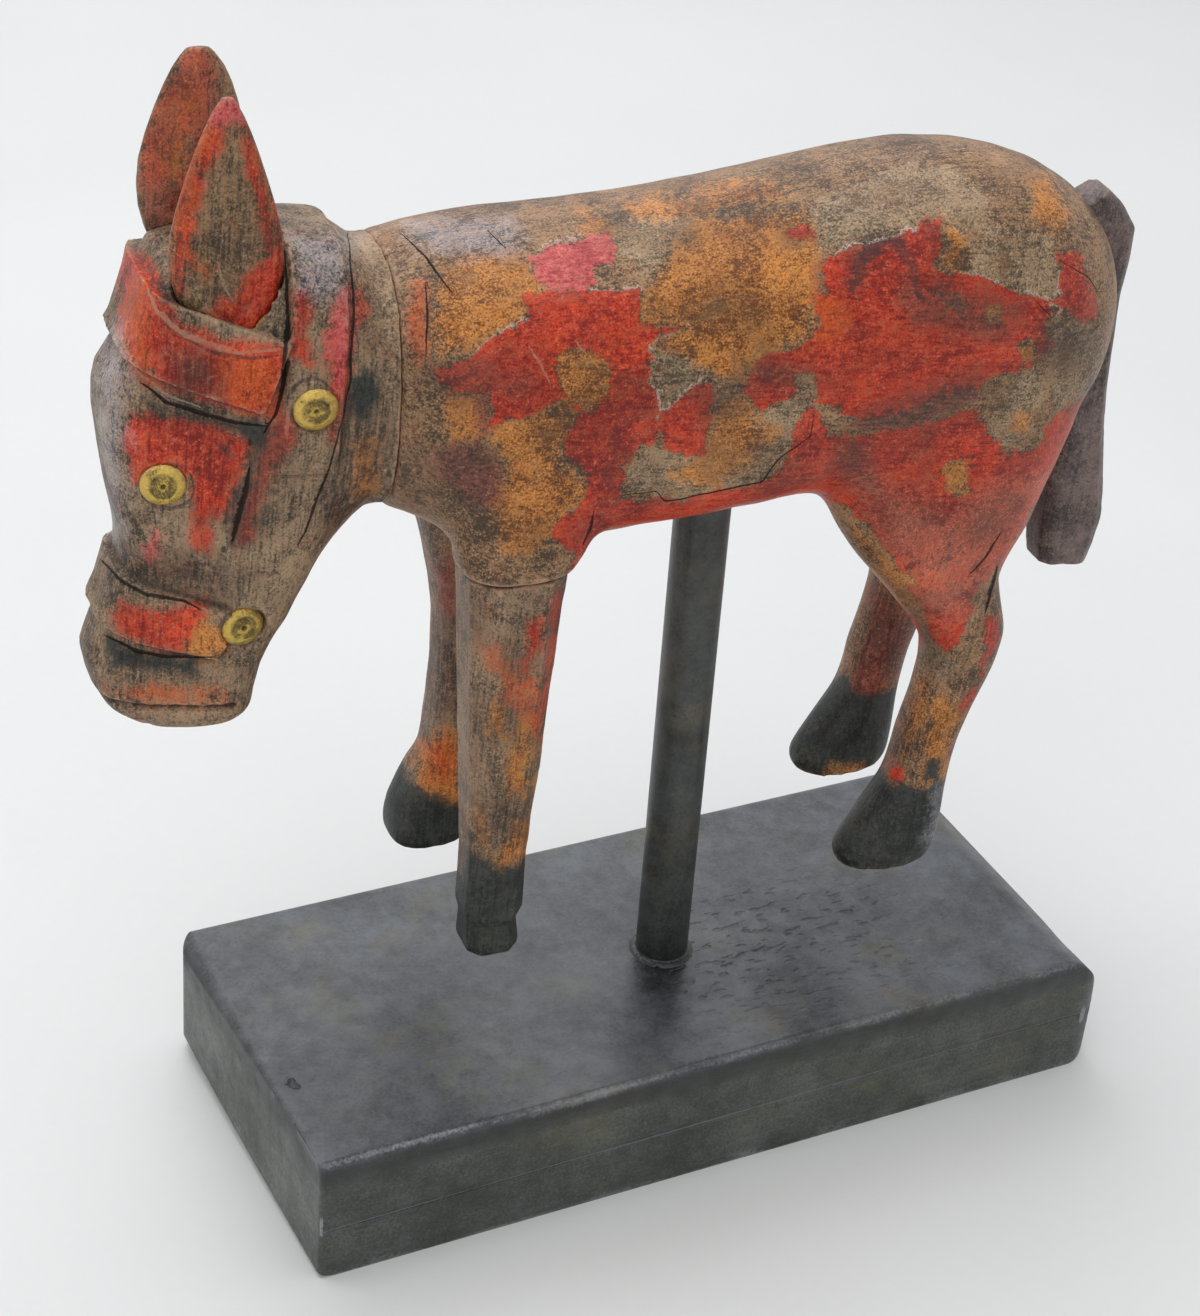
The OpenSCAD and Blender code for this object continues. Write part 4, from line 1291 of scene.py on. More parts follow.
@dataclass(frozen=True)
class WornPaint:
    """Old paint in coats over carved wood, rubbed, cracked and waxed.

    rub is the least softness of a coat's border in millimetres, fade the least
    share of a coat that is worn away, speckle the strength of the finest specks.
    """

    name: str
    ground_dark: Colour
    ground_light: Colour
    rubbed_and_lit: Colour
    grime: float = 0.42
    grain: float = 1.0
    sheen: float = 0.12
    rub: float = 0.0
    rust: float = 0.35
    fade: float = 0.0
    speckle: float = 1.0

    def material(self) -> bpy.types.Material:
        """Build the node material.

        Returns:
            The material.
        """
        s = Shader(bpy.data.materials.new(self.name))
        t = Texture(s, self.grain)
        look = self.coated(s, t)
        self.soil_and_shade(s, t, look)
        crack = self.draw_marks(s, t, look)
        sockets = {
            "Base Color": look.colour,
            "Roughness": (look.rough + t.grit * 0.3 + t.streak * 0.15).kept(0.2, 0.95),
            "Specular IOR Level": 0.25,
            "Coat Weight": (self.sheen - crack * self.sheen).kept(),
            "Coat Roughness": 0.3,
        }
        return s.surface(sockets, look.height)

    def coated(self, s: Shader, t: Texture) -> Look:
        """Lay all coats over the wood, the lowest first.

        Args:
            s: The shader.
            t: Its noises.

        Returns:
            The look of clean paint.
        """
        p = s.place()
        tear = t.wide * 5.0 + t.lumps * 6.0 + t.grit * 2.6
        tone_drift = t.wide * 1.4 + t.lumps * 1.3 + t.streak * 1.1 + 0.5
        even = (tone_drift + t.grit + t.fine * 1.5).rise(0.0, 1.0)
        gritty = (tone_drift + (t.grit + t.fine * 2.1) * self.speckle).rise(0.0, 1.0)
        haze = (s.noise(p, 0.09, 5.0, 0.64) * 2.0 + t.streak + t.grit * 0.3).rise(-0.08, 0.5)
        rust = (s.noise(p, 0.16, 5.0, 0.65) + t.streak * 0.5).rise(0.02, 0.3)
        wood = s.mix(gritty, self.ground_dark, self.ground_light)
        look = Look(
            colour=s.mix(rust * self.rust, wood, RUST),
            height=t.streak * 0.1 + t.grit * 0.2 + t.fine * 0.13 + t.lumps * 0.2,
            rough=0.55,
        )
        for coat, tone in COAT_TONES.items():
            soft = max(tone.soft, self.rub)
            depth = s.field(coat.value) + tear * tone.ragged + (t.grit + t.fine * 0.6) * soft
            lost = tone.thin if coat is Coat.BLACK else max(tone.thin, self.fade)
            cover = depth.rise(-soft, soft) * (tone.opacity - t.wear * lost)
            tint = s.mix(gritty if tone.gritty else even, tone.dark, tone.light)
            if tone.rust:
                tint = s.mix(rust * tone.rust, tint, RUST)
            if tone.drift:
                tint = s.mix(haze * 0.6, tint, tone.drift)
            look.colour = s.mix(cover, look.colour, tint)
            look.rough = look.rough + cover * (tone.rough - look.rough)
            if coat is Coat.BLACK:
                look.bare = 1 - cover
            if tone.thickness:
                look.height = look.height + cover * tone.thickness
            if tone.chips:
                look.border = look.border + (1 - abs(depth).rise(0.1, 0.42))
        return look

    def soil_and_shade(self, s: Shader, t: Texture, look: Look) -> None:
        """Glaze, pit and dust the paint, rub its edges and add painted highlight to them, and fill its
        hollows with painted shade.

        Args:
            s: The shader.
            t: Its noises.
            look: The look, which is changed.
        """
        p = s.place()
        stain = (s.noise(p, 0.1, 6.0, 0.7) + t.lumps * 0.3 + t.streak * 0.4).rise(-0.12, 0.3)
        stain = stain * self.grime
        pores = t.streaks(5.0, 0.5).rise(0.08, 0.24) * (0.45 * self.grain)
        pits = s.noise(p, 1.4, 2.0).rise(0.1, 0.17) * (t.wide + t.grit + 0.5).rise(0.4, 0.7)
        # Pale flecks: dust, partly painted glints of the waxed surface.
        dust = (t.fine + t.grit * 0.6).rise(0.12, 0.28)
        edge = s.field("edge")
        # Convex edges are made paler: rubbed paint, and painted highlight on every edge.
        rubbed_and_lit = (edge + t.lumps * 1.1 + t.grit * 0.8).rise(0.3, 0.9)
        # Concave hollows are darkened: painted shade.
        hollow_shade = (-edge + t.lumps * 0.6).rise(0.12, 0.75)
        colour = s.mix(stain, look.colour, GLAZE, "MULTIPLY")
        colour = s.mix(pores + pits * 0.5, colour, SOOT_AND_SHADE)
        colour = s.mix(dust * look.bare * 0.24, colour, PALE_DUST_AND_GLINT)
        colour = s.mix(rubbed_and_lit * (look.bare * 0.4 + 0.1), colour, self.rubbed_and_lit)
        look.colour = s.mix(hollow_shade * 0.85, colour, SOOT_AND_SHADE)
        look.height = look.height - pores * 0.2 - pits * 0.1
        look.rough = look.rough + stain * 0.15

    @staticmethod
    def draw_marks(s: Shader, t: Texture, look: Look) -> Value:
        """Draw brush strokes, scratches, torn edges of paint and cracks, among them painted shade lines
        and a painted highlight.

        Args:
            s: The shader.
            t: Its noises.
            look: The look, which is changed.

        Returns:
            Share of the cracks and of the painted shade lines.
        """
        stroke = t.mark(Mark.STROKE, t.lumps * 2.2 + t.grit * 1.2)
        scratch = t.mark(Mark.SCRATCH_AND_HIGHLIGHT, t.lumps * 2.0 + t.grit * 1.6) * (1 - t.wear)
        torn = (t.grit + t.lumps + 0.5).rise(0.32, 0.6)
        flake = (look.border * s.field(Mark.FLAKE.value + REACH) * torn).kept()
        crack = t.mark(Mark.CRACK_AND_SHADE, t.grit * 1.8 + t.fine)
        colour = s.mix(stroke * (0.7 - t.wear * 0.5), look.colour, BRUSHED_AND_SHADE)
        colour = s.mix(scratch * 0.5, colour, SCRATCH_AND_HIGHLIGHT_TONE)
        colour = s.mix(flake * 0.8, colour, TORN_EDGE)
        look.colour = s.mix(crack * 0.88, colour, CRACK_AND_SHADE_TONE)
        look.height = look.height - crack * 0.5 + flake * 0.1
        look.rough = look.rough + crack * 0.3
        return crack


@dataclass(frozen=True)
class BlackPaint:
    """Black satin paint on the stand and the post, with wood grain under it.

    lump is the size of one streak of the grain, nick the place of one deep chip,
    darkened with painted shade, and nick_size its size, in millimetres.
    """

    name: str
    tone: Colour
    rubbed_and_lit: Colour
    lump: Point3
    gloss: float
    blur: float
    nick: Point3 | None = None
    nick_size: Point3 = (1.2, 2.6, 2.0)
    dimple_size: Point3 = (3.4, 1.6, 1.6)
    warm: Colour = paint(94, 86, 58)
    olive: Colour = paint(58, 63, 48)
    scuff: Colour = paint(96, 96, 78)
    shadow: Colour = paint(12, 15, 14)
    speck: Colour = paint(12, 12, 12)
    dust: Colour = paint(120, 120, 116)
    dimple: Colour = paint(16, 16, 15)
    # Near black of the painted shade in the deep chip
    chip: Colour = paint(9, 9, 9)

    def material(self) -> bpy.types.Material:
        """Build the node material.

        Returns:
            The material.
        """
        s = Shader(bpy.data.materials.new(self.name))
        p = s.place()
        grain = s.noise(s.place(self.lump), 1.0, 4.0)
        clouds, lumps = s.noise(p, 0.045, 5.0, 0.62), s.noise(p, 0.22, 4.0, 0.6)
        grit = s.noise(p, 1.4, 4.0, 0.62)
        side, edge = s.field("sides"), s.field("edge")
        bumps = grit * (side * 1.4 + 1.0)
        shade = clouds * 1.6 + lumps * 0.8 + grain * (0.15 + side * 0.3) + bumps
        warm = s.noise(p, 0.035, 5.0, 0.66).rise(0.0, 0.22)
        scuffed = side * (grain * 0.8 + clouds * 1.4 + grit * 1.2 + 0.5).rise(0.5, 1.0)
        # Band just under the block's top edge: painted shade of the rounded rim.
        under = s.field("under") * (clouds + grit + 0.5).rise(0.15, 0.6)
        # Pale edges and a pale stretch of rim: on the block a painted highlight with some rub, on the
        # post one rubbed spot.
        rubbed_and_lit = (edge + clouds * 1.4 + grit * 0.8 + grain * 0.6).rise(0.6, 1.15)
        worn = (s.field("worn") + grit * 0.8 + clouds).rise(0.35, 0.8)
        specks = s.noise(p, 0.8, 2.0).rise(0.19, 0.24)
        dust = s.noise(p, 1.9, 3.0, 0.6).rise(0.2, 0.3)
        dimple = s.field("dent") * s.noise(s.place(self.dimple_size), 0.8, 1.0).rise(0.06, 0.2)

        deep, pale = (tuple(share * c for c in self.tone) for share in (0.3, 2.0))
        colour = s.mix((shade + 0.5).rise(0.0, 1.0), deep, pale)
        colour = s.mix(warm * 0.6, colour, self.warm)
        colour = s.mix(side * 0.4, colour, self.olive)
        colour = s.mix(scuffed * 0.6, colour, self.scuff)
        colour = s.mix(under * 0.9, colour, self.shadow)
        colour = s.mix(rubbed_and_lit * 0.5, colour, self.rubbed_and_lit)
        colour = s.mix(worn * 0.7, colour, self.rubbed_and_lit)
        colour = s.mix(specks * 0.5, colour, self.speck)
        colour = s.mix(dust * 0.3, colour, self.dust)
        colour = s.mix(dimple * 0.35, colour, self.dimple)
        rough = (0.45 + clouds * 0.6 + grit * 0.5 + side * 0.14 + worn * 0.2).kept(0.2, 0.95)
        height = grain * 0.04 + bumps * 0.07 + lumps * 0.12 + clouds * 0.2
        height = height - specks * 0.08 - dimple * 0.6
        gloss = self.gloss + clouds * 1.5 + lumps * 0.7 + grit * 0.9 - warm * 0.12
        gloss = (gloss - side * 0.15 - under * 0.2 - dimple * 0.3).kept()
        # The deep chip is painted near black: painted shade in the notch.
        if self.nick:
            hollow_shade = self.hollow_shade(s, s.noise(p, 0.5, 3.0))
            colour = s.mix(hollow_shade * 0.85, colour, self.chip)
            height = height - hollow_shade * 0.5
            gloss = gloss * (1 - hollow_shade)
        sockets = {
            "Base Color": colour,
            "Roughness": rough,
            "Coat Weight": gloss,
            "Coat Roughness": self.blur,
        }
        return s.surface(sockets, height)

    def hollow_shade(self, s: Shader, ragged: Value) -> Value:
        """Share of the deep chip, where painted shade is laid.

        Args:
            s: The shader.
            ragged: Unevenness of its outline.

        Returns:
            A value from 0 to 1.
        """
        middle = tuple(at / size for at, size in zip(self.nick, self.nick_size))
        ends = {0: s.place(self.nick_size), 1: middle}
        away = s.node("VectorMath", {"operation": "DISTANCE"}, ends, "Value")
        return 1 - (away + ragged * 2.4).rise(0.5, 1.0)


@dataclass(frozen=True)
class AgedBrass:
    """Scratched brass of the tacks: painted highlight at the rim, tarnished in the dish, painted shade in
    the middle.
    """

    name: str
    bright: Colour
    tarnish: Colour
    scratched: Colour = paint(222, 194, 112)
    pitted: Colour = paint(48, 38, 26)
    # Near black of the painted shade in each tack's middle
    middle: Colour = paint(30, 24, 16)
    # Pale tone of the painted highlight round each tack's rim
    edge: Colour = paint(214, 190, 128)

    def material(self) -> bpy.types.Material:
        """Build the node material.

        Returns:
            The material.
        """
        s = Shader(bpy.data.materials.new(self.name))
        p = s.place()
        clouds, grit = s.noise(p, 0.42, 5.0, 0.68), s.noise(p, 2.6, 3.0, 0.6)
        out = s.field("rim") + clouds * 0.25 + grit * 0.12
        scratch = s.noise(s.place((4.0, 0.22, 0.22), 0.7), 1.0, 2.0)
        cross = s.noise(s.place((0.22, 0.22, 3.0), -0.5), 1.0, 2.0)
        lines = (scratch + cross * 0.8).rise(0.06, 0.26)
        dish = out.rise(0.1, 0.3) * (1 - out.rise(0.48, 0.66))
        stain = (clouds * 1.6 + scratch * 0.5 + grit * 0.6 + dish * 0.35).rise(-0.05, 0.4)
        pits = (grit + clouds * 1.2).rise(0.2, 0.34)
        colour = s.mix(stain, self.bright, self.tarnish)
        colour = s.mix(lines * 0.45, colour, self.scratched)
        colour = s.mix(pits * 0.8, colour, self.pitted)
        # Near-black middle: painted shade of a pit that the solid lacks.
        colour = s.mix((1 - out.rise(0.06, 0.18)) * 0.85, colour, self.middle)
        # Pale outer rim: painted highlight.
        colour = s.mix(out.rise(0.88, 1.0) * 0.5, colour, self.edge)
        rough = (0.36 + clouds * 0.3 + stain * 0.25 - lines * 0.1).kept(0.2, 0.9)
        height = scratch * 0.1 + cross * 0.1 + clouds * 0.5 + grit * 0.08 - dish * 0.35
        metal = (1 - stain * 0.5).kept()
        return s.surface({"Base Color": colour, "Metallic": metal, "Roughness": rough}, height)


@dataclass(frozen=True)
class BareWood:
    """Plain turned wood of the hidden dowels."""

    name: str
    dark: Colour
    light: Colour
    lump: Point3 = (1.1, 1.1, 10.0)

    def material(self) -> bpy.types.Material:
        """Build the node material.

        Returns:
            The material.
        """
        s = Shader(bpy.data.materials.new(self.name))
        grain = s.noise(s.place(self.lump), 1.0, 4.0)
        colour = s.mix((grain + 0.5).rise(0.2, 0.8), self.dark, self.light)
        return s.surface({"Base Color": colour, "Roughness": 0.6 + grain * 0.2}, grain * 0.1)


@dataclass(frozen=True)
class PaleFloor:
    """Plain pale table top, a little darker in places."""

    name: str
    tone: Colour
    shade: float = 0.95

    def material(self) -> bpy.types.Material:
        """Build the node material.

        Returns:
            The material.
        """
        s = Shader(bpy.data.materials.new(self.name))
        p = s.place()
        drift, grain = s.noise(p, 0.004), s.noise(p, 0.3, 4.0)
        dusk = tuple(self.shade * c for c in self.tone)
        colour = s.mix((drift + grain * 0.3 + 0.5).rise(0.2, 0.8), dusk, self.tone)
        return s.surface({"Base Color": colour, "Roughness": 0.62 + grain * 0.2}, grain * 0.03)


# Carved pieces

# Where the head meets the body, along the figure, in millimetres
NECK_JOINT = -75.0
# Seeds of the noises that all carved pieces share
SHAKE_SEEDS = (71, 72)
DRIFT_SEEDS = (31, 32)
CHANCE_SEED = 50
# How far thin marks waver, and the size of one waver, in millimetres
SHAKE, SHAKE_SIZE = 0.3, 4.0
# How far the paint on a hidden side departs from the drawn one, in millimetres
DRIFT, DRIFT_SIZE = 5.0, 17.0
# How far chance paint reaches where nothing is drawn, in millimetres
CHANCE, CHANCE_SIZE = 5.0, 15.0
# Relief that counts as a full edge, and the reach that it is seen over, in millimetres
EDGE_RELIEF, EDGE_REACH = 0.55, 12.0
OTHER_SIDE = np.array([1, -1, 1])


class Grain(Enum):
    """Way that the wood grain runs."""

    LENGTHWISE = 0
    UPRIGHT = 1


@dataclass
class Surface:
    """Points of a fine mesh in the figure's frame, in millimetres."""

    mesh: bpy.types.Mesh
    edges: np.ndarray = field(init=False)
    points: np.ndarray = field(init=False)

    def __post_init__(self) -> None:
        """Read the points and edges of the mesh."""
        pairs = np.empty(len(self.mesh.edges) * 2, np.int32)
        self.mesh.edges.foreach_get("vertices", pairs)
        self.edges = pairs.reshape(-1, 2)
        self.points = turned(points_of(self.mesh) - FIGURE_FOOT, -FIGURE_TURN)

    def store(self) -> None:
        """Write the points back to the mesh."""
        move_points(self.mesh, turned(self.points, FIGURE_TURN) + FIGURE_FOOT)

    def normals(self) -> np.ndarray:
        """Outward directions of the stored points.

        Returns:
            Unit vectors in the figure's frame, one per row.
        """
        self.store()
        flat = np.empty(len(self.points) * 3, np.float32)
        self.mesh.vertex_normals.foreach_get("vector", flat)
        return turned(flat.reshape(-1, 3).astype(float), -FIGURE_TURN)

    def relaxed(self, strength: np.ndarray | float, passes: int) -> np.ndarray:
        """Draw each point towards its neighbours.

        Args:
            strength: How far, 0 to 1, for all points or each.
            passes: How often.

        Returns:
            The moved points.
        """
        first, second = self.edges.T
        count = len(self.points)
        degree = np.maximum(np.bincount(self.edges.ravel(), minlength=count), 1)
        pull = np.broadcast_to(np.asarray(strength, float), (count,))[:, None]
        rows = self.points.copy()
        for _ in range(passes):
            total = np.empty_like(rows)
            for k in range(3):
                total[:, k] = np.bincount(first, rows[second, k], count)
                total[:, k] += np.bincount(second, rows[first, k], count)
            rows += pull * (total / degree[:, None] - rows)
        return rows


@dataclass(frozen=True)
class HoofBorder:
    """Border of the black paint on a leg: its height, and its slope about a middle."""

    height: float
    slope: float
    middle: float


@dataclass
class Carving:
    """One carved piece of the figure that stands for its solid.

    voxel is the size of the fine mesh's faces and facet the depth of the knife
    cuts, in millimetres, and soften how often edges are worn.
    """

    node: str
    slot: str
    finish: WornPaint
    voxel: float
    soften: int
    grain: Grain = Grain.UPRIGHT
    patches: tuple[Patch, ...] = ()
    lines: tuple[Line, ...] = ()
    hoof: HoofBorder | None = None
    facet: float = 0.16
    seed: int = 1
    wide_facet: float = 11.0
    small_facet: float = 5.0
    crack_depth: float = 0.6
    widest_crack: float = 1.6
    fold_height: float = 0.45

    def build(self) -> bpy.types.Object:
        """Model, paint and mount the piece.

        Returns:
            The piece.
        """
        piece = self.fine_copy()
        surface = Surface(piece.data)
        surface.points = surface.relaxed(self.softness(surface.points), self.soften)
        self.carve(surface)
        surface.store()
        self.lay_coats(surface)
        self.lay_marks(surface)
        self.lay_relief(surface)
        give_finish(piece.data, self.finish.material())
        piece.data.shade_smooth()
        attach(piece, "root")
        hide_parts(self.node)
        LOG.info("%s: %d faces", piece.name, len(piece.data.polygons))
        return piece

    def fine_copy(self) -> bpy.types.Object:
        """Copy the solid as an even fine mesh.

        Returns:
            A new object at the origin.
        """
        rough = shown(closed_mesh(solid_shape(self.node), self.node + "_rough"))
        remesh = rough.modifiers.new("even", "REMESH")
        remesh.mode = "VOXEL"
        remesh.voxel_size = self.voxel * MM
        graph = bpy.context.evaluated_depsgraph_get()
        fine = bpy.data.meshes.new_from_object(rough.evaluated_get(graph))
        bpy.data.objects.remove(rough)
        fine.name = self.node + "_carved"
        return shown(fine)

    def softness(self, points: np.ndarray) -> np.ndarray:
        """How far edges are worn round, 0 to 1 for each point."""
        return 0.5 * smooth_step(0.5, 3.0, np.abs(points[:, 0] - NECK_JOINT))

    def carve(self, surface: Surface) -> None:
        """Cut knife facets, cracks and folds into the surface.

        Args:
            surface: The fine mesh.
        """
        normals = surface.normals()
        at = surface.points
        cut = knots(at, self.wide_facet, self.seed) + 0.6 * knots(at, self.small_facet, self.seed + 7)
        cut = self.facet * (cut - 1.2) * smooth_step(0.5, 4.0, np.abs(at[:, 0] - NECK_JOINT))
        seen = smooth_step(0.0, 0.3, VIEW.faced(normals))
        spot = self.wobbled(at)
        for line in self.lines:
            if line.mark is Mark.CRACK_AND_SHADE:
                relief = -self.crack_depth * min(line.width, self.widest_crack)
            elif line.mark is Mark.FOLD:
                relief = self.fold_height
            else:
                continue
            side, reach = line.sides(spot)
            cut += seen * reach * relief * np.exp(-side ** 2)
        surface.points = at + normals * cut[:, None]

    @staticmethod
    def wobbled(points: np.ndarray) -> np.ndarray:
        """Places on the picture, shaken a little so that thin marks waver.

        Args:
            points: Points in the figure's frame.

        Returns:
            Right and down in millimetres, one row per point.
        """
        return VIEW.places(points) + SHAKE * knot_pairs(points, SHAKE_SIZE, SHAKE_SEEDS)

    def lay_coats(self, surface: Surface) -> None:
        """Store how deep each point lies in each coat.

        The far side takes the drawn side's coats, mirrored and shifted, and what
        the picture shows on neither side is painted by chance.

        Args:
            surface: The carved mesh.
        """
        at, normals = surface.points, surface.normals()
        far = at[:, 1] > 0
        seen = VIEW.faced(normals)
        mirrored = VIEW.faced(normals * OTHER_SIDE)
        spot = VIEW.places(at)
        back = VIEW.places(at * OTHER_SIDE) + DRIFT * knot_pairs(at, DRIFT_SIZE, DRIFT_SEEDS)
        own = np.where(far, smooth_step(0.0, 0.35, seen), 1.0)
        drawn = smooth_step(-0.1, 0.25, np.where(far, np.maximum(seen, mirrored), seen))
        for number, coat in enumerate(Coat):
            start = self.undrawn(coat, at)
            depth = own * self.coat_depth(coat, spot, start)
            depth += (1 - own) * self.coat_depth(coat, back, start)
            chance = CHANCE * knots(at, CHANCE_SIZE, CHANCE_SEED + number) + self.unseen_share(coat)
            depth = drawn * depth + (1 - drawn) * np.maximum(chance, start)
            store_values(surface.mesh, coat.value, depth)

    def lay_marks(self, surface: Surface) -> None:
        """Store where thin marks run and how strongly they show.

        Args:
            surface: The carved mesh.
        """
        seen = smooth_step(0.0, 0.2, VIEW.faced(surface.normals()))
        spot = self.wobbled(surface.points)
        for mark in (Mark.CRACK_AND_SHADE, Mark.FLAKE, Mark.SCRATCH_AND_HIGHLIGHT, Mark.STROKE):
            side, reach = np.full(len(spot), FAR_BESIDE), np.zeros(len(spot))
            for line in self.lines:
                if line.mark is mark:
                    offset, share = line.sides(spot)
                    share = share * seen
                    nearer = (share > 0) & (np.abs(offset) < np.abs(side))
                    side = np.where(nearer, offset, side)
                    reach = np.where(nearer, share, reach)
            store_values(surface.mesh, mark.value, side)
            store_values(surface.mesh, mark.value + REACH, reach)

    def lay_relief(self, surface: Surface) -> None:
        """Store edges and hollows, which the paint lightens and darkens as painted highlight and shade,
        and the way of the grain.

        Args:
            surface: The carved mesh.
        """
        flat = surface.relaxed(0.5, int(EDGE_REACH / self.voxel))
        relief = np.sum((surface.points - flat) * surface.normals(), axis=1)
        store_values(surface.mesh, "edge", np.clip(relief / EDGE_RELIEF, -1, 1))
        store_values(surface.mesh, "upright", self.upright(surface.points))

    def undrawn(self, coat: Coat, at: np.ndarray) -> np.ndarray:
        """Depth inside a coat before any patch is drawn.

        Args:
            coat: The coat.
            at: Points in the figure's frame.

        Returns:
            Depth below the black border of the hoof, or far outside.
        """
        if coat is not Coat.BLACK or not self.hoof:
            return np.full(len(at), FAR_OUTSIDE)
        return self.hoof.height + self.hoof.slope * (at[:, 0] - self.hoof.middle) - at[:, 2]

    def coat_depth(self, coat: Coat, spot: np.ndarray, start: np.ndarray) -> np.ndarray:
        """Depth inside all patches of one coat.

        Args:
            coat: The coat.
            spot: Places on the picture.
            start: Depth where no patch is drawn.

        Returns:
            Millimetres from the nearest outline, positive inside.
        """
        depth = start
        for patch in self.patches:
            if patch.coat is coat:
                inside = patch.depth(spot)
                depth = np.minimum(depth, -inside) if patch.hole else np.maximum(depth, inside)
        return depth

    def unseen_share(self, coat: Coat) -> float:
        """How readily a coat shows where nothing is drawn, in millimetres.

        Args:
            coat: The coat.

        Returns:
            The share, far below zero for a coat that shows on no hidden side.
        """
        shares = {Coat.OLIVE: 0.5, Coat.OCHRE: -0.5, Coat.RED: 0.6} if self.patches else {}
        return shares.get(coat, -9.0)

    def upright(self, points: np.ndarray) -> np.ndarray:
        """Share of upright grain for each point."""
        return np.full(len(points), float(self.grain.value))


@dataclass
class Body(Carving):
    """Barrel with both hind legs: lengthwise grain above, upright in the legs.

    The spans say where the creases over the legs are faired, along and up the
    figure, and leg_seat is the height at which the forelegs meet the chest.
    """

    leg_top: float = 105.0
    leg_fade: float = 20.0
    hoof_top: float = 12.0
    hoof_fade: float = 14.0
    leg_seat: float = 94.0
    chest_end: float = -35.0
    crease_heights: Span = (88.0, 98.0, 128.0, 142.0)
    shoulder: Span = (-74.0, -70.0, -30.0, -18.0)
    shoulder_foot: Point2 = (98.0, 103.0)
    thigh: Span = (0.0, 14.0, 70.0, 78.0)
    fairing: float = 0.6
    fairing_passes: int = 90

    def softness(self, points: np.ndarray) -> np.ndarray:
        """Soften the barrel most, and keep the hooves and the seats of the forelegs crisp.

        Args:
            points: Points in the figure's frame.

        Returns:
            How far edges are worn round, 0 to 1 for each point.
        """
        x, _, z = points.T
        hoof = 1 - smooth_step(self.hoof_top, self.hoof_top + self.hoof_fade, z)
        off_seat = smooth_step(2, 7, np.abs(z - self.leg_seat))
        off_neck = smooth_step(0, 4, np.abs(x - NECK_JOINT))
        joint = (1 - off_seat * off_neck) * (x < self.chest_end)
        return 0.5 * (1 - 0.85 * hoof) * (1 - 0.75 * joint)

    def carve(self, surface: Surface) -> None:
        """Fair the creases over the legs, then cut as on any piece.

        Args:
            surface: The fine mesh.
        """
        x, _, z = surface.points.T
        front = within(self.shoulder, x) * smooth_step(*self.shoulder_foot, z)
        creased = np.maximum(front, within(self.thigh, x)) * within(self.crease_heights, z)
        surface.points = surface.relaxed(self.fairing * creased, self.fairing_passes)
        super().carve(surface)

    def upright(self, points: np.ndarray) -> np.ndarray:
        """Upright grain in the legs, lengthwise in the barrel."""
        return 1 - smooth_step(self.leg_top - self.leg_fade, self.leg_top, points[:, 2])


@dataclass
class StandPiece:
    """One black piece of the stand: a copy of its solid with finely divided faces.

    spacing is the distance between two cuts in millimetres, crease the least
    angle of an edge that stays sharp, in degrees.
    """

    node: str
    finish: BlackPaint
    spacing: float = 2.5
    crease: float = 32.0

    def build(self) -> bpy.types.Object:
        """Copy, wear, colour and mount the piece.

        Returns:
            The piece.
        """
        piece = self.cut_copy()
        mesh = piece.data
        at = self.dented(points_of(mesh))
        move_points(mesh, at)
        for name, values in self.wear(at).items():
            store_values(mesh, name, values)
        give_finish(mesh, self.finish.material())
        mesh.shade_smooth()
        mesh.set_sharp_from_angle(angle=math.radians(self.crease))
        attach(piece, "root")
        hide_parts(self.node)
        LOG.info("%s: %d faces", piece.name, len(mesh.polygons))
        return piece

    def cut_copy(self) -> bpy.types.Object:
        """Copy the solid and divide its faces by parallel cuts.

        Returns:
            The copy, at the origin.
        """
        low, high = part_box(self.node)
        shape = solid_shape(self.node)
        for axis in range(3):
            normal = [0.0, 0.0, 0.0]
            normal[axis] = 1.0
            count = int((high[axis] - low[axis]) / (self.spacing * MM))
            for k in range(1, count):
                point = [0.0, 0.0, 0.0]
                point[axis] = low[axis] + (high[axis] - low[axis]) * k / count
                parts = shape.verts[:] + shape.edges[:] + shape.faces[:]
                bmesh.ops.bisect_plane(shape, geom=parts, dist=1e-7, plane_co=point, plane_no=normal)
        bmesh.ops.triangulate(shape, faces=shape.faces)
        return shown(closed_mesh(shape, self.node + "_painted"))

    def dented(self, at: np.ndarray) -> np.ndarray:
        """Points with the piece's dents, in millimetres."""
        return at

    def wear(self, at: np.ndarray) -> dict[str, np.ndarray | float]:
        """Numbers for the finish at each point.

        Args:
            at: Points in millimetres.

        Returns:
            Edge, side, dent, under-rim shade, and wear and highlight shares, 0 to 1.
        """
        return {"edge": 0.0, "sides": 0.0, "dent": 0.0, "under": 0.0, "worn": 0.0}


@dataclass(frozen=True)
class Chip:
    """Dent in the block, by its place, reach and depth in millimetres."""

    place: Point3
    reach: float
    depth: float


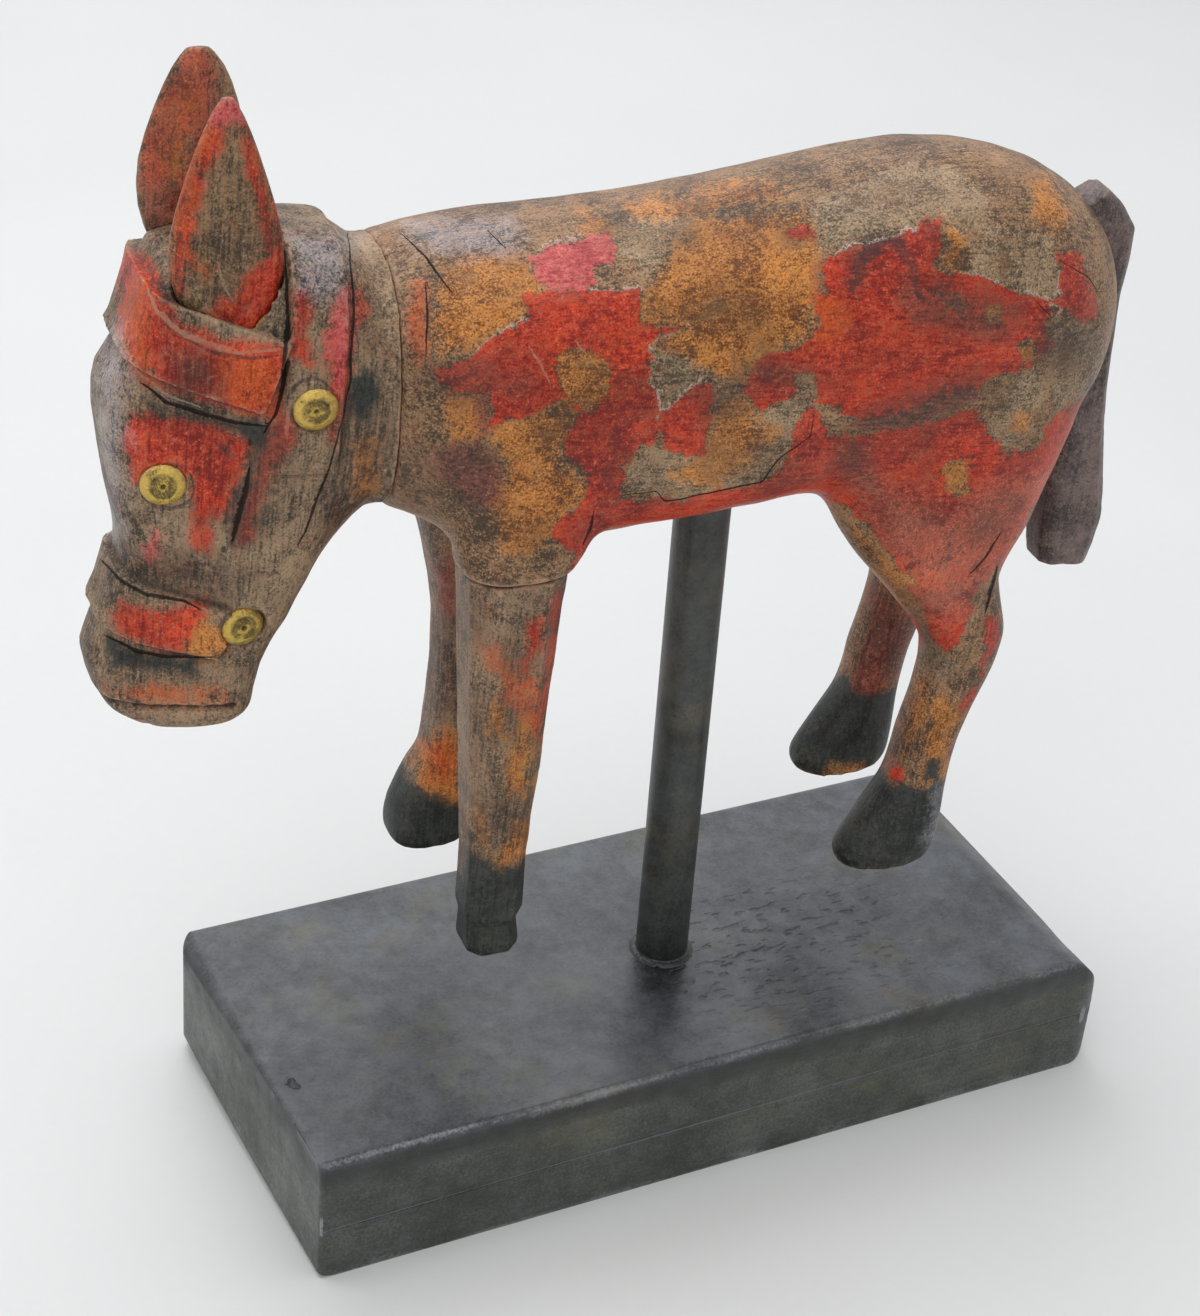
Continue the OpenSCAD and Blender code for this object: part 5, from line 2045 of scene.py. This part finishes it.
@dataclass
class Block(StandPiece):
    """The block, chipped at the rim and dimpled on top.

    dimples and rim_highlight are areas on top, by their middle, half length and half
    width, rim_highlight holding a painted highlight; shaded_rim_band is the band of painted
    shade on the sides, down from the top.
    """

    edge_reach: float = 2.2
    saw_height: float = 14.6
    saw_reach: float = 3.0
    saw_depths: Point2 = (0.1, 0.6)
    top_depths: Point2 = (0.3, 1.5)
    side_depths: Point2 = (1.0, 4.0)
    shaded_rim_band: Span = (0.6, 2.0, 3.5, 7.5)
    dimples: Span = (29.0, -13.0, 29.0, 22.0)
    rim_highlight: Span = (-76.0, -42.0, 22.0, 1.9)
    underside: float = 1.0
    chips: tuple[Chip, ...] = (
        Chip((-92.9, -14.7, 31.0), 2.6, 0.8),
        Chip((-70.0, -42.0, 31.0), 5.0, 0.4),
        Chip((-84.5, 12.0, 31.6), 1.6, 0.4),
        Chip((40.0, -42.0, 31.0), 4.0, 0.3),
        Chip((97.0, -30.0, 29.0), 6.0, 0.5),
    )

    def dented(self, at: np.ndarray) -> np.ndarray:
        """Press the chips in.

        Args:
            at: Points in millimetres.

        Returns:
            The moved points.
        """
        at = at.copy()
        for chip in self.chips:
            near = np.exp(-np.sum((at - chip.place) ** 2, axis=1) / chip.reach ** 2)
            at[:, 2] -= chip.depth * near * (at[:, 2] > self.underside)
        return at

    def wear(self, at: np.ndarray) -> dict[str, np.ndarray | float]:
        """Pale edges of rub and painted highlight, dull sides, dimples on top, a painted highlight along
        the front rim, a pale saw line.

        Args:
            at: Points in millimetres.

        Returns:
            Edge, side, dent, under-rim shade, and wear and highlight shares, 0 to 1.
        """
        low, high = (np.array(corner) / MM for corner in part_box(self.node))
        gaps = np.sort(np.minimum(at - low, high - at), axis=1)
        below, into = high[2] - at[:, 2], at[:, 1] - low[1]
        top = 1 - smooth_step(*self.top_depths, below)
        cut = (into > self.saw_depths[0]) & (into < self.saw_depths[1])
        saw = cut & (np.abs(at[:, 2] - self.saw_height) < self.saw_reach)
        return {
            "edge": np.exp(-gaps[:, 1] / self.edge_reach),
            "sides": smooth_step(*self.side_depths, below),
            "dent": top * self.spot(at, self.dimples),
            "under": within(self.shaded_rim_band, below),
            "worn": np.maximum(0.7 * top * self.spot(at, self.rim_highlight), 0.9 * saw),
        }

    @staticmethod
    def spot(at: np.ndarray, area: Span) -> np.ndarray:
        """Soft area on the top face.

        Args:
            at: Points in millimetres.
            area: Middle x and y, half length and half width.

        Returns:
            1 inside, fading to 0.
        """
        x, y, long, wide = area
        return np.exp(-((at[:, 0] - x) / long) ** 4 - ((at[:, 1] - y) / wide) ** 4)


@dataclass
class Post(StandPiece):
    """The leaning post, with a worn spot half way up its left side."""

    worn_height: float = 101.0
    worn_reach: float = 7.0
    worn_side: Point2 = (-8.0, -3.0)
    worn_share: float = 0.4

    def wear(self, at: np.ndarray) -> dict[str, np.ndarray | float]:
        """One worn spot, and plain paint elsewhere.

        Args:
            at: Points in millimetres.

        Returns:
            Edge, side, dent, under-rim shade, and wear and highlight shares, 0 to 1.
        """
        left = 1 - smooth_step(*self.worn_side, at[:, 1])
        near = np.exp(-((at[:, 2] - self.worn_height) / self.worn_reach) ** 2)
        return {**super().wear(at), "worn": self.worn_share * near * left}


@dataclass
class Tacks:
    """Brass tacks: copies of their solids that know how far each point is from the middle."""

    finish: AgedBrass
    places: tuple[str, ...] = ("eye", "cheek", "muzzle")
    crease: float = 40.0

    def build(self) -> None:
        """Make all tacks with one shared finish."""
        brass = self.finish.material()
        for name in self.places:
            for side in ("left", "right"):
                self.tack(f"{side}_{name}_tack", brass)

    def tack(self, node: str, brass: bpy.types.Material) -> None:
        """Copy, dress and mount one tack.

        Args:
            node: Name of its solid.
            brass: The finish.
        """
        mesh = closed_mesh(solid_shape(node), node + "_brass")
        store_values(mesh, "rim", self.rim(mesh))
        give_finish(mesh, brass)
        mesh.shade_smooth()
        mesh.set_sharp_from_angle(angle=math.radians(self.crease))
        piece = shown(mesh)
        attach(piece, "root")
        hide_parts(node)
        LOG.info("%s: %d faces", piece.name, len(mesh.polygons))

    @staticmethod
    def rim(mesh: bpy.types.Mesh) -> np.ndarray:
        """Distance of each point from the tack's axis.

        Args:
            mesh: Mesh of a round tack.

        Returns:
            0 on the axis to 1 at the rim.
        """
        rows = points_of(mesh)
        rows -= rows.mean(axis=0)
        spread, ways = np.linalg.eigh(rows.T @ rows)
        axis = ways[:, 0] if spread[1] - spread[0] > spread[2] - spread[1] else ways[:, 2]
        away = np.linalg.norm(rows - np.outer(rows @ axis, axis), axis=1)
        return away / away.max()


@dataclass
class Dowels:
    """Hidden dowels, which keep their solids."""

    finish: BareWood
    nodes: tuple[str, ...] = ("neck_dowel", "left_foreleg_dowel", "right_foreleg_dowel")

    def dress(self) -> None:
        """Give the solids their finish."""
        wood = self.finish.material()
        for node in self.nodes:
            give_finish(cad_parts[node].data, wood)
            LOG.info("%s: %s", node, wood.name)


@dataclass(frozen=True)
class Lamp:
    """Square lamp that faces the figure, in metres and watts."""

    name: str
    place: Point3
    size: float
    power: float
    tint: Colour

    def hang(self, target: Point3) -> None:
        """Hang the lamp and aim it.

        Args:
            target: Where it aims, in metres.
        """
        data = bpy.data.lights.new(self.name, "AREA")
        data.size = self.size
        data.energy = self.power
        data.color = self.tint
        lamp = bpy.data.objects.new(self.name, data)
        aim = Vector(target) - Vector(self.place)
        turn = aim.to_track_quat("-Z", "Y").to_matrix().to_4x4()
        lamp.matrix_world = Matrix.Translation(self.place) @ turn
        bpy.context.scene.collection.objects.link(lamp)


@dataclass
class Studio:
    """Camera, soft light and a plain pale floor."""

    view: Viewpoint = VIEW
    floor_size: float = 6.0
    floor: PaleFloor = PaleFloor("pale_floor", paint(234, 233, 230))
    backdrop: Colour = paint(231, 233, 239)
    sky: Colour = (0.93, 0.96, 1.0)
    sky_light: float = 0.5
    target: Point3 = (0.0, 0.0, 0.13)
    nearest: float = 0.01
    lamps: tuple[Lamp, ...] = (
        Lamp("overhead", (-0.1, 0.15, 1.3), 1.8, 10.0, (0.95, 0.97, 1.0)),
        Lamp("sheen", (-0.25, 0.25, 1.1), 0.5, 2.4, (0.92, 0.96, 1.0)),
        Lamp("back", (0.35, 1.2, 0.95), 1.0, 2.5, (0.94, 0.97, 1.0)),
        Lamp("front", (-1.0, -1.0, 0.75), 1.0, 3.0, (1.0, 0.98, 0.95)),
    )

    def build(self) -> None:
        """Set up the whole studio."""
        self.place_camera()
        self.lay_floor()
        for lamp in self.lamps:
            lamp.hang(self.target)
        self.light_sky()
        bpy.context.scene.view_settings.view_transform = "Standard"

    def place_camera(self) -> None:
        """Stand the camera where the picture was taken."""
        lens = bpy.data.cameras.new("camera")
        lens.lens = self.view.lens
        lens.sensor_width = self.view.sensor
        lens.sensor_fit = "HORIZONTAL"
        lens.clip_start = self.nearest
        camera = bpy.data.objects.new("camera", lens)
        up, back = [-v for v in self.view.down], [-v for v in self.view.ahead]
        turn = Matrix([self.view.right, up, back]).transposed()
        camera.matrix_world = Matrix.Translation(self.view.eye) @ turn.to_4x4()
        bpy.context.scene.collection.objects.link(camera)
        bpy.context.scene.camera = camera

    def lay_floor(self) -> None:
        """Lay the floor under the stand."""
        shape = bmesh.new()
        bmesh.ops.create_grid(shape, x_segments=2, y_segments=2, size=self.floor_size / 2)
        mesh = closed_mesh(shape, "floor")
        give_finish(mesh, self.floor.material())
        floor = shown(mesh)

    def light_sky(self) -> None:
        """Light the scene from all round, and show the backdrop to the camera and in gloss."""
        world = bpy.data.worlds.new("studio")
        bpy.context.scene.world = world
        s = Shader(world)
        seen = s.node("LightPath", out="Is Camera Ray")
        for ray in ("Is Glossy Ray", "Is Transmission Ray"):
            seen = seen.larger(s.node("LightPath", out=ray))
        lit = s.node("Background", None, {"Color": self.sky, "Strength": self.sky_light})
        plain = s.node("Background", None, {"Color": self.backdrop, "Strength": 1.0})
        both = s.node("MixShader", None, {0: seen, 1: lit, 2: plain})
        s.node("OutputWorld", None, {"Surface": both})


# The donkey


def figure() -> list[Carving]:
    """All carved pieces of the animal.

    Returns:
        The pieces, in the order in which they are made.
    """
    # The third colour of each finish is the pale tone of rubbed edges, which also serves as their painted
    # highlight.
    coat = WornPaint(
        "flaking_paint", paint(70, 52, 36), paint(184, 142, 102), paint(198, 166, 138), sheen=0.2
    )
    face = WornPaint(
        "smoky_paint", paint(56, 47, 37), paint(180, 150, 118), paint(196, 158, 130),
        grime=0.38, grain=1.1, rub=1.6, rust=0.5, fade=0.45, speckle=0.7,
    )
    ear = WornPaint(
        "ear_paint", paint(60, 48, 36), paint(172, 136, 100), paint(196, 124, 90),
        grime=0.36, grain=1.1, rub=1.8, fade=0.45, speckle=0.7,
    )
    leg = WornPaint(
        "leg_paint", paint(70, 58, 46), paint(182, 150, 118), paint(188, 152, 124),
        grime=0.36, grain=1.0, rub=1.6, rust=0.5, fade=0.4, speckle=0.8,
    )
    stain = WornPaint(
        "tail_stain", paint(46, 38, 36), paint(142, 122, 116), paint(150, 132, 126),
        grime=0.32, grain=0.5, sheen=0.25, rust=0.15, speckle=0.5,
    )
    red, ochre = "red_paint", "ochre_paint"
    return [
        Body(
            "body", red, coat, voxel=0.84, soften=16, grain=Grain.LENGTHWISE, seed=3,
            patches=BODY_PATCHES, lines=BODY_LINES, hoof=HoofBorder(25.0, 0.1, 42.0),
        ),
        Carving(
            "head", red, face, voxel=0.5, soften=3, seed=5, patches=HEAD_PATCHES, lines=HEAD_LINES
        ),
        Carving(
            "left_ear", red, ear, voxel=0.36, soften=4, facet=0.08, seed=11,
            patches=LEFT_EAR_PATCHES, lines=LEFT_EAR_LINES,
        ),
        Carving(
            "right_ear", red, ear, voxel=0.36, soften=4, facet=0.08, seed=13, patches=RIGHT_EAR_PATCHES
        ),
        Carving(
            "left_foreleg", ochre, leg, voxel=0.5, soften=2, seed=17,
            patches=LEFT_FORELEG_PATCHES, hoof=HoofBorder(19.0, 0.0, -51.0),
        ),
        Carving(
            "right_foreleg", ochre, leg, voxel=0.5, soften=8, seed=19,
            patches=RIGHT_FORELEG_PATCHES, hoof=HoofBorder(14.0, -0.5, -51.0),
        ),
        Carving("tail", "dark_wood", stain, voxel=0.5, soften=3, seed=23),
    ]


def stand() -> list[StandPiece]:
    """Both black pieces of the stand.

    Returns:
        The pieces, in the order in which they are made.
    """
    # The block's second colour is the pale bluish tone of its painted highlight on edges and rim.
    satin = BlackPaint(
        "block_black", paint(50, 53, 56), paint(152, 154, 158), (24.0, 1.4, 1.4),
        gloss=0.55, blur=0.3, nick=(-94.4, -15.4, 30.9),
    )
    dull = BlackPaint(
        "post_black", paint(42, 45, 42), paint(120, 92, 84), (1.4, 1.4, 24.0), gloss=0.3, blur=0.45
    )
    return [Block("base_block", satin), Post("post", dull)]


def main() -> None:
    """Build the studio, the stand and the figure."""
    logging.basicConfig(level=logging.INFO, format="%(name)s %(message)s")
    Studio().build()
    for piece in (*stand(), *figure()):
        piece.build()
    Tacks(AgedBrass("aged_brass", paint(206, 174, 92), paint(108, 90, 50))).build()
    Dowels(BareWood("bare_wood", paint(150, 112, 72), paint(196, 158, 112))).dress()


if __name__ == "__main__":
    main()
